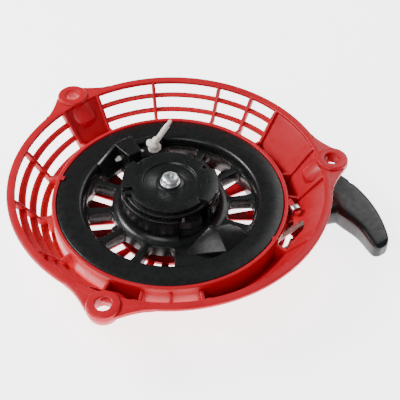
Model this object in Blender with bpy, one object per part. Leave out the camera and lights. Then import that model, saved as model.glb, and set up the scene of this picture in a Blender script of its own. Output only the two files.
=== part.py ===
"""Recoil starter for a small engine: louvred cover, rope reel, ratchets, springs, rope and pull grip.

Origin: on the reel's axis, at the cover's flat outer face. +Z points to the engine side, so the
cover rests on its outer face. The rope leaves nearly along +X. Lengths are written in
millimetres and scaled to metres by MM.
"""
import math

import bmesh
import bpy
from mathutils import Matrix, Vector

MM = 0.001
GAP = 0.35

# Cover
RIM_OUTER_R = 93.4
RIM_INNER_R = 88.6
RIM_TOP_Z = 36.5
RIM_BOTTOM_Z = 34.1
SKIRT_SLOPE = 0.73
SKIRT_OUTER_R0 = 67.0
SKIRT_THICK_R = 3.3
WALL_OUTER_R = 69.3
WALL_INNER_R = 66.8
WALL_TOP_Z = 22.7
DECK_Z = 2.2
POST_FOOT_R = 9.0
POST_FOOT_Z = 14.6
POST_R = 6.0
POST_TOP_Z = 31.2
SCREW_HOLE_R = 2.7
HOLE_BOTTOM_Z = 4.0
POST_PLUG_R = 4.6
LUG_CIRCLE_R = 96.4
LUG_AZIMUTHS = (90.0, 210.0, 330.0)
LUG_BOSS_R = 9.3
LUG_HOLE_R = 4.4
LUG_TOP_Z = 38.04
LUG_SPREAD = 17.0
LOUVRE_ZONES = ((3.2, 81.8), (98.2, 201.9), (218.2, 244.5))
LOUVRE_DROP = 7.4
LOUVRE_STEP_R = 5.4
LOUVRE_TILT = 0.357
LOUVRE_THICK = 2.2
FIRST_BAR_R = 87.8
FIRST_BAR_Z = 28.5
RIB_AZIMUTHS = (
    3.2, 15.8, 30.4, 57.8, 81.8, 98.2, 124.0, 150.5, 177.0, 201.9, 218.2, 231.0, 244.5,
    290.0, 322.5, 338.0,
)
RIB_THICK = 2.2
DECK_SLOT_COUNT = 25
DECK_SLOT_START = -26.7
DECK_SLOT_WIDTH = 3.8
DECK_SLOT_INNER_R = 33.0
DECK_SLOT_OUTER_R = 60.0

# Reel
REEL_TOP_Z = 22.1
REEL_BOTTOM_Z = 3.0
REEL_FLANGE_R = 66.4
REEL_LOWER_FLANGE_R = 64.0
REEL_FLANGE_THICK = 1.7
DRUM_OUTER_R = 52.6
DRUM_INNER_R = 50.5
WEB_TOP_Z = 16.5
WEB_BOTTOM_Z = 13.5
HUB_OUTER_R = 28.4
HUB_INNER_R = 26.0
HUB_TOP_Z = 30.7
HUB_FLOOR_Z = 17.5
HUB_FLOOR_BOTTOM_Z = 15.0
REEL_BORE_R = 7.5
REEL_BOSS_R = 9.9
REEL_BOSS_TOP_Z = 26.0
WINDOW_INNER_R = 34.5
WINDOW_OUTER_R = 49.6
WINDOW_WIDTH = 22.0
WINDOW_START = -18.2
WINDOW_PITCH = 30.0
BLOCKED_WINDOWS = (3, 9, 10)
KNOT_SHELF_Z = 21.6

# Ratchets and their guide
RATCHET_AZIMUTHS = (42.0, 222.0)
RATCHET_PIVOT_R = 18.0
RATCHET_PIN_R = 2.0
RATCHET_BOTTOM_Z = 17.9
RATCHET_TOP_Z = 23.4
RATCHET_PIN_TOP_Z = 26.4
RATCHET_DRIVE_PIN = (-1.0, 10.0)
HUB_NOTCH = (19.0, 62.0)
GUIDE_R = 24.2
GUIDE_EAR_R = 27.8
GUIDE_EARS = ((102.0, 162.0), (282.0, 342.0))
GUIDE_RING_R = 26.4
GUIDE_TOP_Z = 35.6
GUIDE_PLATE_Z = 33.2
GUIDE_RING_Z = 31.2
GUIDE_RECESS_R = 15.5
GUIDE_RECESS_Z = 34.4
GUIDE_BORE_R = 3.4

# Rope and grip
ROPE_R = 1.85
ROPE_LAYER_1_R = 55.1
ROPE_LAYER_2_R = 58.7
ROPE_TOP_Z = 18.1
ROPE_LOW_Z = 7.0
ROPE_EXIT_Z = 11.0
ROPE_TURNS = 3.42
ROPE_JOIN = 0.4
PULL_AZIMUTH = 2.0
OUTLET_START = 44.6
OUTLET_SEAT = 51.4
OUTLET_END = 53.6
OUTLET_R = 8.4
OUTLET_BORE_R = 4.9
POCKET_R = 6.7
POCKET_CORNERS = ((303.0, 24.0), (300.0, 24.0), (294.5, 18.0))
POCKET_DEPTH = 0.9
POCKET_MARGIN = 1.2
GRIP_START = 57.4
GRIP_Z = 9.3
GRIP_YAW = -5.5
GRIP_HALF_WIDTH = 44.0
GRIP_THICK = 14.4

STEEL = ((0.62, 0.62, 0.6), 0.35, 1.0)
ZINC = ((0.72, 0.72, 0.7), 0.3, 1.0)
RED_PLASTIC = ((0.62, 0.03, 0.03), 0.4, 0.0)
BLACK_PLASTIC = ((0.02, 0.022, 0.022), 0.45, 0.0)
ROPE_FIBRE = ((0.75, 0.72, 0.66), 0.8, 0.0)


def polar(radius, degrees):
    """Point in plan at a radius and an azimuth, in millimetres."""
    angle = math.radians(degrees)
    return radius * math.cos(angle), radius * math.sin(angle)


def material(name, look):
    """Principled material of a colour, a roughness and a metallic value."""
    colour, roughness, metallic = look
    made = bpy.data.materials.new(name)
    made.use_nodes = True
    shader = made.node_tree.nodes["Principled BSDF"]
    shader.inputs["Base Color"].default_value = (*colour, 1.0)
    shader.inputs["Roughness"].default_value = roughness
    shader.inputs["Metallic"].default_value = metallic
    return made


def place(name, bm, look, pivot=(0.0, 0.0, 0.0)):
    """Object from a mesh built in millimetres, with its origin at the pivot."""
    bmesh.ops.recalc_face_normals(bm, faces=bm.faces)
    bmesh.ops.translate(bm, verts=bm.verts, vec=-Vector(pivot))
    bmesh.ops.scale(bm, verts=bm.verts, vec=(MM, MM, MM))
    mesh = bpy.data.meshes.new(name)
    bm.to_mesh(mesh)
    bm.free()
    mesh.shade_smooth()
    mesh.set_sharp_from_angle(angle=math.radians(35.0))
    made = bpy.data.objects.new(name, mesh)
    made.location = Vector(pivot) * MM
    bpy.context.collection.objects.link(made)
    if look:
        made.data.materials.append(material(name, look))
    return made


def tool(name, bm):
    """Hidden shape that is added to or cut from a part."""
    made = place(name, bm, None)
    made.hide_render = True
    made.display_type = "WIRE"
    return made


def boolean(target, other, operation):
    """Adds or cuts another shape with an exact Boolean modifier."""
    step = target.modifiers.new(other.name, "BOOLEAN")
    step.solver = "EXACT"
    step.operation = operation
    step.object = other


def add_ring(bm, profile, start=0.0, end=360.0, steps=60):
    """Turned body of a closed (radius, z) outline, over a whole turn or a sector."""
    whole = end - start >= 360.0
    count = steps if whole else steps + 1
    loops = []
    for index in range(count):
        azimuth = start + (end - start) * index / steps
        loop = []
        for radius, z in profile:
            x, y = polar(radius, azimuth)
            loop.append(bm.verts.new((x, y, z)))
        loops.append(loop)
    size = len(profile)
    for index in range(steps):
        near = loops[index]
        far = loops[(index + 1) % count]
        for side in range(size):
            after = (side + 1) % size
            bm.faces.new((near[side], near[after], far[after], far[side]))
    if not whole:
        bm.faces.new(loops[0])
        bm.faces.new(list(reversed(loops[-1])))


def add_prism(bm, outline, low, high, turn=None):
    """Upright body of a plan outline between two heights, optionally moved by a matrix."""
    made = []
    for z in (low, high):
        made.append([bm.verts.new((x, y, z)) for x, y in outline])
    size = len(outline)
    for side in range(size):
        after = (side + 1) % size
        bm.faces.new((made[0][side], made[0][after], made[1][after], made[1][side]))
    bm.faces.new(list(reversed(made[0])))
    bm.faces.new(made[1])
    if turn:
        bmesh.ops.transform(bm, matrix=turn, verts=made[0] + made[1])


def add_fin(bm, outline, azimuth, thickness):
    """Radial web: a (radius, z) outline with a thickness, stood at an azimuth."""
    upright = Matrix(((1, 0, 0, 0), (0, 0, -1, 0), (0, 1, 0, 0), (0, 0, 0, 1)))
    turn = Matrix.Rotation(math.radians(azimuth), 4, "Z") @ upright
    add_prism(bm, outline, -thickness / 2, thickness / 2, turn)


def add_box(bm, low, high, turn=None):
    """Box between two corners."""
    outline = [(low[0], low[1]), (high[0], low[1]), (high[0], high[1]), (low[0], high[1])]
    add_prism(bm, outline, low[2], high[2], turn)


def circle(radius, centre=(0.0, 0.0), steps=24):
    """Round outline."""
    points = []
    for index in range(steps):
        x, y = polar(radius, 360.0 * index / steps)
        points.append((centre[0] + x, centre[1] + y))
    return points


def add_hull(bm, points):
    """Smallest convex body round the points."""
    part = bmesh.new()
    for point in points:
        part.verts.new(point)
    bmesh.ops.convex_hull(part, input=part.verts)
    loose = [vert for vert in part.verts if not vert.link_faces]
    bmesh.ops.delete(part, geom=loose, context="VERTS")
    mesh = bpy.data.meshes.new("hull")
    part.to_mesh(mesh)
    part.free()
    bm.from_mesh(mesh)
    bpy.data.meshes.remove(mesh)


def rope(name, points, look, radius, resolution=2):
    """Round cord along its points, in millimetres, with closed ends."""
    curve = bpy.data.curves.new(name, "CURVE")
    curve.dimensions = "3D"
    curve.bevel_depth = radius * MM
    curve.bevel_resolution = resolution
    curve.use_fill_caps = True
    spline = curve.splines.new("POLY")
    spline.points.add(len(points) - 1)
    for knot, point in zip(spline.points, points):
        knot.co = (*(Vector(point) * MM), 1.0)
    made = bpy.data.objects.new(name, curve)
    bpy.context.collection.objects.link(made)
    curve.materials.append(material(name, look))
    return made


def add_tube(bm, points, radius, sides=10):
    """Closed round tube along a path that stays near one level."""
    loops = []
    for index, point in enumerate(points):
        before = Vector(points[max(index - 1, 0)])
        after = Vector(points[min(index + 1, len(points) - 1)])
        along = (after - before).normalized()
        side = along.cross(Vector((0.0, 0.0, 1.0))).normalized()
        up = side.cross(along)
        loop = []
        for step in range(sides):
            x, y = polar(radius, 360.0 * step / sides)
            loop.append(bm.verts.new(Vector(point) + side * x + up * y))
        loops.append(loop)
    for near, far in zip(loops, loops[1:]):
        for step in range(sides):
            nxt = (step + 1) % sides
            bm.faces.new((near[step], near[nxt], far[nxt], far[step]))
    bm.faces.new(list(reversed(loops[0])))
    bm.faces.new(loops[-1])


def skirt_r(z, outer):
    """Radius of the skirt's outer or inner face at a height."""
    radius = SKIRT_OUTER_R0 + SKIRT_SLOPE * z
    return radius if outer else radius - SKIRT_THICK_R


def pull_frame():
    """Frame whose X runs along the rope, with the rope's line on its X axis."""
    turn = Matrix.Rotation(math.radians(PULL_AZIMUTH), 4, "Z")
    return turn @ Matrix.Translation((0.0, -ROPE_LAYER_2_R, ROPE_EXIT_Z))


def cover_profile():
    """Outline of the deck, post, well wall, skirt and rim, counter-clockwise."""
    meet_z = (WALL_OUTER_R + SKIRT_THICK_R - SKIRT_OUTER_R0) / SKIRT_SLOPE
    return [
        (SCREW_HOLE_R, 0.0),
        (SKIRT_OUTER_R0 - 0.8, 0.0),
        (skirt_r(0.8, True), 0.8),
        (skirt_r(RIM_BOTTOM_Z, True), RIM_BOTTOM_Z),
        (RIM_OUTER_R, RIM_BOTTOM_Z),
        (RIM_OUTER_R, RIM_TOP_Z),
        (RIM_INNER_R, RIM_TOP_Z),
        (skirt_r(RIM_BOTTOM_Z, False), RIM_BOTTOM_Z),
        (WALL_OUTER_R, meet_z),
        (WALL_OUTER_R, WALL_TOP_Z),
        (WALL_INNER_R, WALL_TOP_Z),
        (WALL_INNER_R, DECK_Z),
        (POST_FOOT_R, DECK_Z),
        (POST_FOOT_R, POST_FOOT_Z),
        (POST_R, POST_FOOT_Z),
        (POST_R, POST_TOP_Z),
        (SCREW_HOLE_R, POST_TOP_Z),
    ]


def louvre_slots():
    """Sloping ring slots between the louvre bars."""
    bm = bmesh.new()
    for start, end in LOUVRE_ZONES:
        for index in range(4):
            bar_r = FIRST_BAR_R - LOUVRE_STEP_R * index
            bar_z = FIRST_BAR_Z - LOUVRE_DROP * index
            inner = max(bar_r - 8.0, WALL_OUTER_R + 0.15)
            outer = bar_r + 7.0

            def face(radius, lift):
                return bar_z + (radius - bar_r) * LOUVRE_TILT + lift

            rise = LOUVRE_DROP - LOUVRE_THICK - LOUVRE_STEP_R * LOUVRE_TILT
            if index == 0:
                top_inner = top_outer = RIM_BOTTOM_Z
            else:
                top_inner = face(inner, rise)
                top_outer = face(outer, rise)
            profile = [
                (inner, face(inner, 0.0)),
                (outer, face(outer, 0.0)),
                (outer, top_outer),
                (inner, top_inner),
            ]
            steps = max(4, round((end - start) / 6.0))
            add_ring(bm, profile, start, end, steps)
    return tool("louvre_slots", bm)


def cover_ribs():
    """Radial webs between the rim, the skirt and the well wall."""
    bm = bmesh.new()
    foot_z = 5.0
    outline = [
        (WALL_OUTER_R - 1.2, foot_z),
        (skirt_r(foot_z, True) - 0.6, foot_z),
        (skirt_r(RIM_BOTTOM_Z - 1.0, True) - 0.6, RIM_BOTTOM_Z - 1.0),
        (skirt_r(RIM_BOTTOM_Z, True) - 0.8, RIM_TOP_Z - 0.4),
        (RIM_INNER_R + 0.1, RIM_TOP_Z - 0.4),
        (86.0, 33.4),
        (75.5, 18.6),
        (WALL_OUTER_R - 1.2, 20.4),
    ]
    for azimuth in RIB_AZIMUTHS:
        add_fin(bm, outline, azimuth, RIB_THICK)
    return tool("cover_ribs", bm)


def lug_outline(azimuth):
    """Plan outline of an ear that swells out of the rim round its bolt boss."""
    points = []
    steps = 18
    for index in range(steps + 1):
        away = LUG_SPREAD * (2.0 * index / steps - 1.0)
        flare = 7.5 * ((LUG_SPREAD - abs(away)) / 11.5) ** 2
        radius = RIM_OUTER_R - 0.3 + flare
        across = LUG_CIRCLE_R * math.sin(math.radians(away))
        if abs(across) < LUG_BOSS_R:
            boss = LUG_CIRCLE_R * math.cos(math.radians(away)) + math.sqrt(LUG_BOSS_R**2 - across**2)
            radius = boss if abs(away) < 4.5 else max(radius, boss)
        points.append(polar(radius, azimuth + away))
    for away in (LUG_SPREAD, 0.5 * LUG_SPREAD, 0.0, -0.5 * LUG_SPREAD, -LUG_SPREAD):
        points.append(polar(RIM_INNER_R + 1.3, azimuth + away))
    return points


def cover_lugs():
    """Three ears with their raised bolt bosses."""
    bm = bmesh.new()
    for azimuth in LUG_AZIMUTHS:
        add_prism(bm, lug_outline(azimuth), RIM_BOTTOM_Z - 0.7, RIM_TOP_Z - 0.1)
    return tool("cover_lugs", bm)


def lug_bosses():
    """Raised seats round the bolt holes."""
    bm = bmesh.new()
    for azimuth in LUG_AZIMUTHS:
        add_prism(bm, circle(LUG_BOSS_R - 0.8, polar(LUG_CIRCLE_R, azimuth)), 29.5, LUG_TOP_Z)
    return tool("lug_bosses", bm)


def cover_holes():
    """Bolt holes, deck slots and the rope's way through the well wall and the gutter floor."""
    bm = bmesh.new()
    for azimuth in LUG_AZIMUTHS:
        add_prism(bm, circle(LUG_HOLE_R, polar(LUG_CIRCLE_R, azimuth)), 20.0, 45.0)
    for index in range(DECK_SLOT_COUNT):
        azimuth = DECK_SLOT_START + 360.0 / DECK_SLOT_COUNT * index
        turn = Matrix.Rotation(math.radians(azimuth), 4, "Z")
        half = DECK_SLOT_WIDTH / 2
        add_box(bm, (DECK_SLOT_INNER_R, -half, -1.0), (DECK_SLOT_OUTER_R, half, 3.0), turn)
    return tool("cover_holes", bm)


def gutter_hole():
    """Narrow opening in the gutter floor beside the well wall, under the rope."""
    bm = bmesh.new()
    outline = [(69.6, -2.0), (73.4, -2.0), (73.4, 19.0), (69.6, 19.0)]
    add_ring(bm, outline, 296.0, 308.0, 6)
    return tool("gutter_hole", bm)


def along_rope():
    """Frame that lays a body built about Z along the rope's line."""
    lie = Matrix(((0, 0, 1, 0), (1, 0, 0, 0), (0, 1, 0, 0), (0, 0, 0, 1)))
    return pull_frame() @ lie


def rope_rings(radius, distances, steps=24):
    """Rings of points round the rope's line at distances along it."""
    points = []
    for distance in distances:
        for x, y in circle(radius, steps=steps):
            points.append(along_rope() @ Vector((x, y, distance)))
    return points


def pocket_corners(outer, depth, margin):
    """Corners of the pocket on the skirt's outer or inner face, widened by a margin."""
    points = []
    for azimuth, height in POCKET_CORNERS:
        z = height + margin
        x, y = polar(skirt_r(z, outer) + depth, azimuth - margin)
        points.append((x, y, z))
    return points


def outlet_boss():
    """Bulge of the skirt that ends in the round boss of the rope's outlet."""
    bm = bmesh.new()
    rings = rope_rings(OUTLET_R, (OUTLET_START, OUTLET_END))
    add_hull(bm, rings + pocket_corners(True, -0.4, POCKET_MARGIN))
    return tool("outlet_boss", bm)


def outlet_pocket():
    """Hollow of the bulge, open to the gutter, with a flat seat for the eyelet's flange."""
    bm = bmesh.new()
    rings = rope_rings(POCKET_R, (OUTLET_START + 0.9, OUTLET_SEAT))
    add_hull(bm, rings + pocket_corners(False, POCKET_DEPTH, 0.0))
    return tool("outlet_pocket", bm)


def outlet_hole():
    """Bore of the outlet, from the gutter through the boss."""
    bm = bmesh.new()
    add_prism(bm, circle(OUTLET_BORE_R, steps=24), 38.6, 60.0, along_rope())
    return tool("outlet_hole", bm)


def wall_window():
    """Window in the well wall through which the rope reaches the outlet."""
    bm = bmesh.new()
    add_box(bm, (24.0, -5.2, -4.6), (39.7, 5.6, 5.4), pull_frame())
    return tool("wall_window", bm)


def finger():
    """Bracket that branches off the well wall over the rope, with a round end."""
    bm = bmesh.new()
    root = Vector((51.6, -45.6))
    tip = Vector((48.9, -56.6))
    along = (tip - root).normalized()
    side = Vector((-along.y, along.x)) * 1.8
    outline = [tuple(root + side)]
    base = math.degrees(math.atan2(side.y, side.x))
    for index in range(9):
        x, y = polar(1.8, base - 22.5 * index)
        outline.append((tip.x + x, tip.y + y))
    outline.append(tuple(root - side))
    add_prism(bm, outline, 14.8, WALL_TOP_Z - 0.1)
    return tool("finger", bm)


def retaining_tab():
    """Small tab over the reel's edge that keeps the reel down."""
    bm = bmesh.new()
    outline = [(67.3, 21.5), (69.0, 21.5), (69.0, 23.6), (64.9, 23.2), (64.9, 22.55), (67.3, 22.55)]
    add_fin(bm, outline, 126.8, 5.0)
    return tool("retaining_tab", bm)


def make_cover():
    """Moulded cover with its post, wall, louvred skirt, rim, ears and rope outlet."""
    bm = bmesh.new()
    add_ring(bm, cover_profile())
    cover = place("housing", bm, RED_PLASTIC)
    bm = bmesh.new()
    add_prism(bm, circle(POST_PLUG_R), 0.0, HOLE_BOTTOM_Z)
    boolean(cover, tool("post_plug", bm), "UNION")
    boolean(cover, louvre_slots(), "DIFFERENCE")
    boolean(cover, cover_ribs(), "UNION")
    boolean(cover, cover_lugs(), "UNION")
    boolean(cover, lug_bosses(), "UNION")
    boolean(cover, outlet_boss(), "UNION")
    boolean(cover, outlet_pocket(), "DIFFERENCE")
    boolean(cover, finger(), "UNION")
    boolean(cover, retaining_tab(), "UNION")
    boolean(cover, cover_holes(), "DIFFERENCE")
    boolean(cover, gutter_hole(), "DIFFERENCE")
    boolean(cover, outlet_hole(), "DIFFERENCE")
    boolean(cover, wall_window(), "DIFFERENCE")
    bm = bmesh.new()
    add_box(bm, (-0.7, 5.0, 3.0), (0.7, 12.0, 14.0))
    boolean(cover, tool("spring_slot", bm), "DIFFERENCE")


def make_outlet_hardware():
    """Flanged steel eyelet in the outlet, and the formed strip hooked over the finger."""
    bm = bmesh.new()
    inner = 2.5
    profile = [
        (inner, OUTLET_SEAT - 1.6),
        (6.0, OUTLET_SEAT - 1.6),
        (6.0, OUTLET_SEAT - GAP),
        (4.5, OUTLET_SEAT - GAP),
        (4.5, OUTLET_END + 0.6),
        (inner, OUTLET_END + 0.6),
    ]
    add_ring(bm, profile, steps=24)
    bmesh.ops.transform(bm, matrix=along_rope(), verts=bm.verts)
    place("rope_eyelet", bm, STEEL)
    bm = bmesh.new()
    half = 2.2
    strip = 0.7
    top = WALL_TOP_Z + 0.25
    bottom = 19.9
    outline = [
        (-half - strip, bottom), (-half, bottom), (-half, top), (half, top),
        (half, bottom), (half + strip, bottom), (half + strip, top + strip), (-half - strip, top + strip),
    ]
    stand = Matrix(((1, 0, 0, 0), (0, 0, -1, 0), (0, 1, 0, 0), (0, 0, 0, 1)))
    turn = Matrix.Translation((49.6, -53.8, 0.0)) @ Matrix.Rotation(math.radians(-13.8), 4, "Z")
    add_prism(bm, outline, -1.6, 1.6, turn @ stand)
    place("rope_guide_clip", bm, STEEL)


def reel_profile():
    """Outline of the hub, web, drum and flanges, counter-clockwise."""
    top_under = REEL_TOP_Z - REEL_FLANGE_THICK
    low_top = REEL_BOTTOM_Z + REEL_FLANGE_THICK
    return [
        (REEL_BORE_R, HUB_FLOOR_BOTTOM_Z),
        (HUB_INNER_R, HUB_FLOOR_BOTTOM_Z),
        (HUB_INNER_R, REEL_BOTTOM_Z + 0.2),
        (HUB_OUTER_R, REEL_BOTTOM_Z + 0.2),
        (HUB_OUTER_R, WEB_BOTTOM_Z),
        (DRUM_INNER_R, WEB_BOTTOM_Z),
        (DRUM_INNER_R, REEL_BOTTOM_Z),
        (REEL_LOWER_FLANGE_R, REEL_BOTTOM_Z),
        (REEL_LOWER_FLANGE_R, low_top),
        (DRUM_OUTER_R, low_top),
        (DRUM_OUTER_R, top_under),
        (REEL_FLANGE_R, top_under),
        (REEL_FLANGE_R, REEL_TOP_Z),
        (DRUM_OUTER_R, REEL_TOP_Z),
        (DRUM_INNER_R, REEL_TOP_Z - 1.6),
        (DRUM_INNER_R, WEB_TOP_Z),
        (HUB_OUTER_R + 2.4, WEB_TOP_Z),
        (HUB_OUTER_R + 0.4, WEB_TOP_Z + 2.0),
        (HUB_OUTER_R, HUB_TOP_Z),
        (HUB_INNER_R, HUB_TOP_Z),
        (HUB_INNER_R, HUB_FLOOR_Z),
        (REEL_BOSS_R, HUB_FLOOR_Z),
        (REEL_BOSS_R, REEL_BOSS_TOP_Z),
        (REEL_BORE_R, REEL_BOSS_TOP_Z),
    ]


def reel_cuts():
    """Windows in the web, notches for the ratchets and the spring's way out of the hub."""
    bm = bmesh.new()
    for index in range(12):
        if index in BLOCKED_WINDOWS:
            continue
        middle = WINDOW_START + WINDOW_PITCH * index
        profile = [
            (WINDOW_INNER_R, WEB_BOTTOM_Z - 1.0),
            (WINDOW_OUTER_R, WEB_BOTTOM_Z - 1.0),
            (WINDOW_OUTER_R, WEB_TOP_Z + 1.0),
            (WINDOW_INNER_R, WEB_TOP_Z + 1.0),
        ]
        add_ring(bm, profile, middle - WINDOW_WIDTH / 2, middle + WINDOW_WIDTH / 2, 6)
    for azimuth in RATCHET_AZIMUTHS:
        profile = [
            (HUB_INNER_R - 1.0, HUB_FLOOR_Z + 0.01),
            (HUB_OUTER_R + 3.0, HUB_FLOOR_Z + 0.01),
            (HUB_OUTER_R + 3.0, HUB_TOP_Z + 1.0),
            (HUB_INNER_R - 1.0, HUB_TOP_Z + 1.0),
        ]
        add_ring(bm, profile, azimuth + HUB_NOTCH[0], azimuth + HUB_NOTCH[1], 8)
    turn = Matrix.Rotation(math.radians(162.0), 4, "Z")
    add_box(bm, (HUB_INNER_R - 1.0, -2.2, 2.0), (HUB_OUTER_R + 1.0, 1.8, WEB_BOTTOM_Z - 0.2), turn)
    return tool("reel_cuts", bm)


def knot_block():
    """Raised block by the drum that holds the rope's knot."""
    bm = bmesh.new()
    outline = [(38.0, 15.0), (53.2, 15.0), (53.2, 27.2), (52.2, 28.0), (38.5, 28.0), (38.0, 27.2)]
    add_ring(bm, outline, 78.0, 91.5, 5)
    return tool("knot_block", bm)


def knot_wall():
    """Wall beyond the knot, and the ramp down to the flange."""
    bm = bmesh.new()
    outline = [(48.5, 15.0), (52.9, 15.0), (52.9, 24.0), (48.5, 24.0)]
    add_ring(bm, outline, 57.0, 79.0, 8)
    corners = []
    for azimuth, high in ((91.0, 27.9), (108.0, REEL_TOP_Z - 0.2)):
        for radius in (45.5, 53.0):
            x, y = polar(radius, azimuth)
            corners.append((x, y, 15.0))
            corners.append((x, y, high))
    add_hull(bm, corners)
    return tool("knot_wall", bm)


def knot_shelf():
    """Shelf that the knot's tail lies on, between the wall and the windows."""
    bm = bmesh.new()
    outline = [(38.4, 15.2), (49.0, 15.2), (49.0, KNOT_SHELF_Z), (38.4, KNOT_SHELF_Z)]
    add_ring(bm, outline, 65.0, 79.0, 5)
    return tool("knot_shelf", bm)


def drive_block():
    """Wedge block opposite the knot."""
    bm = bmesh.new()
    crown = [(-1.7, -36.3, 28.0), (9.7, -41.4, 27.4), (0.4, -42.4, 28.0), (16.1, -52.6, 21.8)]
    foot = [(-19.7, -34.2, 15.0), (-9.1, -46.7, 15.0), (8.0, -34.5, 15.0), (22.0, -46.5, 15.0)]
    outer = [(14.5, -50.2, 15.0), (-4.0, -52.2, 15.0), (-2.0, -52.3, 21.8)]
    add_hull(bm, crown + foot + outer)
    return tool("drive_block", bm)


def ratchet_frame(azimuth):
    """Frame at a ratchet's pivot, with X pointing outwards."""
    turn = Matrix.Rotation(math.radians(azimuth), 4, "Z")
    return turn @ Matrix.Translation((RATCHET_PIVOT_R, 0.0, 0.0))


def lead_path():
    """Rope from the drum's first layer in to the knot, following the drum round."""
    points = []
    end = PULL_AZIMUTH - 90.0 - 360.0 * ROPE_TURNS
    steps = 14
    for index in range(steps + 1):
        part = index / steps
        ease = part * part * (3.0 - 2.0 * part)
        azimuth = end + 360.0 * 4 - 48.0 * part
        radius = ROPE_LAYER_1_R - 11.0 * ease
        x, y = polar(radius, azimuth)
        points.append((x, y, ROPE_TOP_Z + 2.4 * ease))
    return points


def make_reel():
    """Moulded reel with its blocks, ratchet pins and the rope's way in."""
    bm = bmesh.new()
    add_ring(bm, reel_profile(), steps=48)
    reel = place("reel", bm, BLACK_PLASTIC)
    boolean(reel, reel_cuts(), "DIFFERENCE")
    boolean(reel, knot_block(), "UNION")
    boolean(reel, knot_wall(), "UNION")
    boolean(reel, knot_shelf(), "UNION")
    boolean(reel, drive_block(), "UNION")
    bm = bmesh.new()
    for azimuth in RATCHET_AZIMUTHS:
        add_prism(bm, circle(RATCHET_PIN_R, steps=20), 16.5, RATCHET_PIN_TOP_Z, ratchet_frame(azimuth))
    boolean(reel, tool("ratchet_pins", bm), "UNION")
    bm = bmesh.new()
    add_tube(bm, lead_path(), ROPE_R + GAP)
    boolean(reel, tool("rope_way", bm), "DIFFERENCE")


def make_ratchets():
    """Steel ratchets with their drive pins, and the small springs that fold them in."""
    outline = [
        (3.6, 0.0), (3.4, 5.0), (2.4, 10.0), (1.2, 15.0), (-3.6, 20.6), (-7.0, 18.6),
        (-3.2, 13.5), (-2.0, 8.5), (-3.2, 3.5), (-3.8, 0.0), (-2.6, -2.8), (0.0, -3.8), (2.6, -2.8),
    ]
    for number, azimuth in enumerate(RATCHET_AZIMUTHS, 1):
        frame = ratchet_frame(azimuth)
        pivot = frame.translation
        bm = bmesh.new()
        add_prism(bm, outline, RATCHET_BOTTOM_Z, RATCHET_TOP_Z, frame)
        ratchet = place(f"ratchet_{number}", bm, STEEL, pivot)
        bm = bmesh.new()
        add_prism(bm, circle(1.1, RATCHET_DRIVE_PIN, 16), RATCHET_TOP_Z - 1.0, 29.4, frame)
        boolean(ratchet, tool(f"drive_pin_{number}", bm), "UNION")
        bm = bmesh.new()
        add_prism(bm, circle(RATCHET_PIN_R + GAP, steps=20), 15.0, 28.0, frame)
        boolean(ratchet, tool(f"pivot_hole_{number}", bm), "DIFFERENCE")
        points = []
        for index in range(31):
            angle = 360.0 * index / 12
            x, y = polar(2.9, angle)
            points.append(frame @ Vector((x, y, 23.9 + 0.85 * index / 12)))
        points.append(frame @ Vector((-2.6, -3.4, 26.1)))
        points.append(frame @ Vector((0.4, -7.6, 26.2)))
        points.append(frame @ Vector((4.6, -9.5, 26.2)))
        rope(f"ratchet_spring_{number}", points, STEEL, 0.35, 1)


def make_guide():
    """Black guide over the ratchets, with two wide ears and fingers for the drive pins."""
    bm = bmesh.new()
    ring = [
        (GUIDE_BORE_R, POST_TOP_Z + GAP),
        (8.0, POST_TOP_Z + GAP),
        (8.0, GUIDE_PLATE_Z - 0.8),
        (GUIDE_RING_R - 2.4, GUIDE_PLATE_Z - 0.8),
        (GUIDE_RING_R - 2.4, GUIDE_RING_Z),
        (GUIDE_RING_R, GUIDE_RING_Z),
        (GUIDE_RING_R, GUIDE_PLATE_Z),
        (GUIDE_R, GUIDE_PLATE_Z + 0.2),
        (GUIDE_R, GUIDE_TOP_Z),
        (GUIDE_RECESS_R, GUIDE_TOP_Z),
        (GUIDE_RECESS_R, GUIDE_RECESS_Z),
        (GUIDE_BORE_R, GUIDE_RECESS_Z),
    ]
    add_ring(bm, ring, steps=40)
    guide = place("ratchet_guide", bm, BLACK_PLASTIC)
    bm = bmesh.new()
    for start, end in GUIDE_EARS:
        profile = [
            (GUIDE_R - 3.1, GUIDE_RING_Z + 1.47), (GUIDE_EAR_R, GUIDE_RING_Z + 1.47),
            (GUIDE_EAR_R, GUIDE_TOP_Z - 0.1), (GUIDE_R - 3.1, GUIDE_TOP_Z - 0.1),
        ]
        add_ring(bm, profile, start + 0.4, end + 0.4, 10)
    boolean(guide, tool("guide_ears", bm), "UNION")
    bm = bmesh.new()
    for azimuth in RATCHET_AZIMUTHS:
        x, y = polar(13.0, azimuth + 30.0)
        add_prism(bm, circle(1.6, (x, y), 16), 24.4, GUIDE_PLATE_Z)
    boolean(guide, tool("guide_fingers", bm), "UNION")


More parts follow.
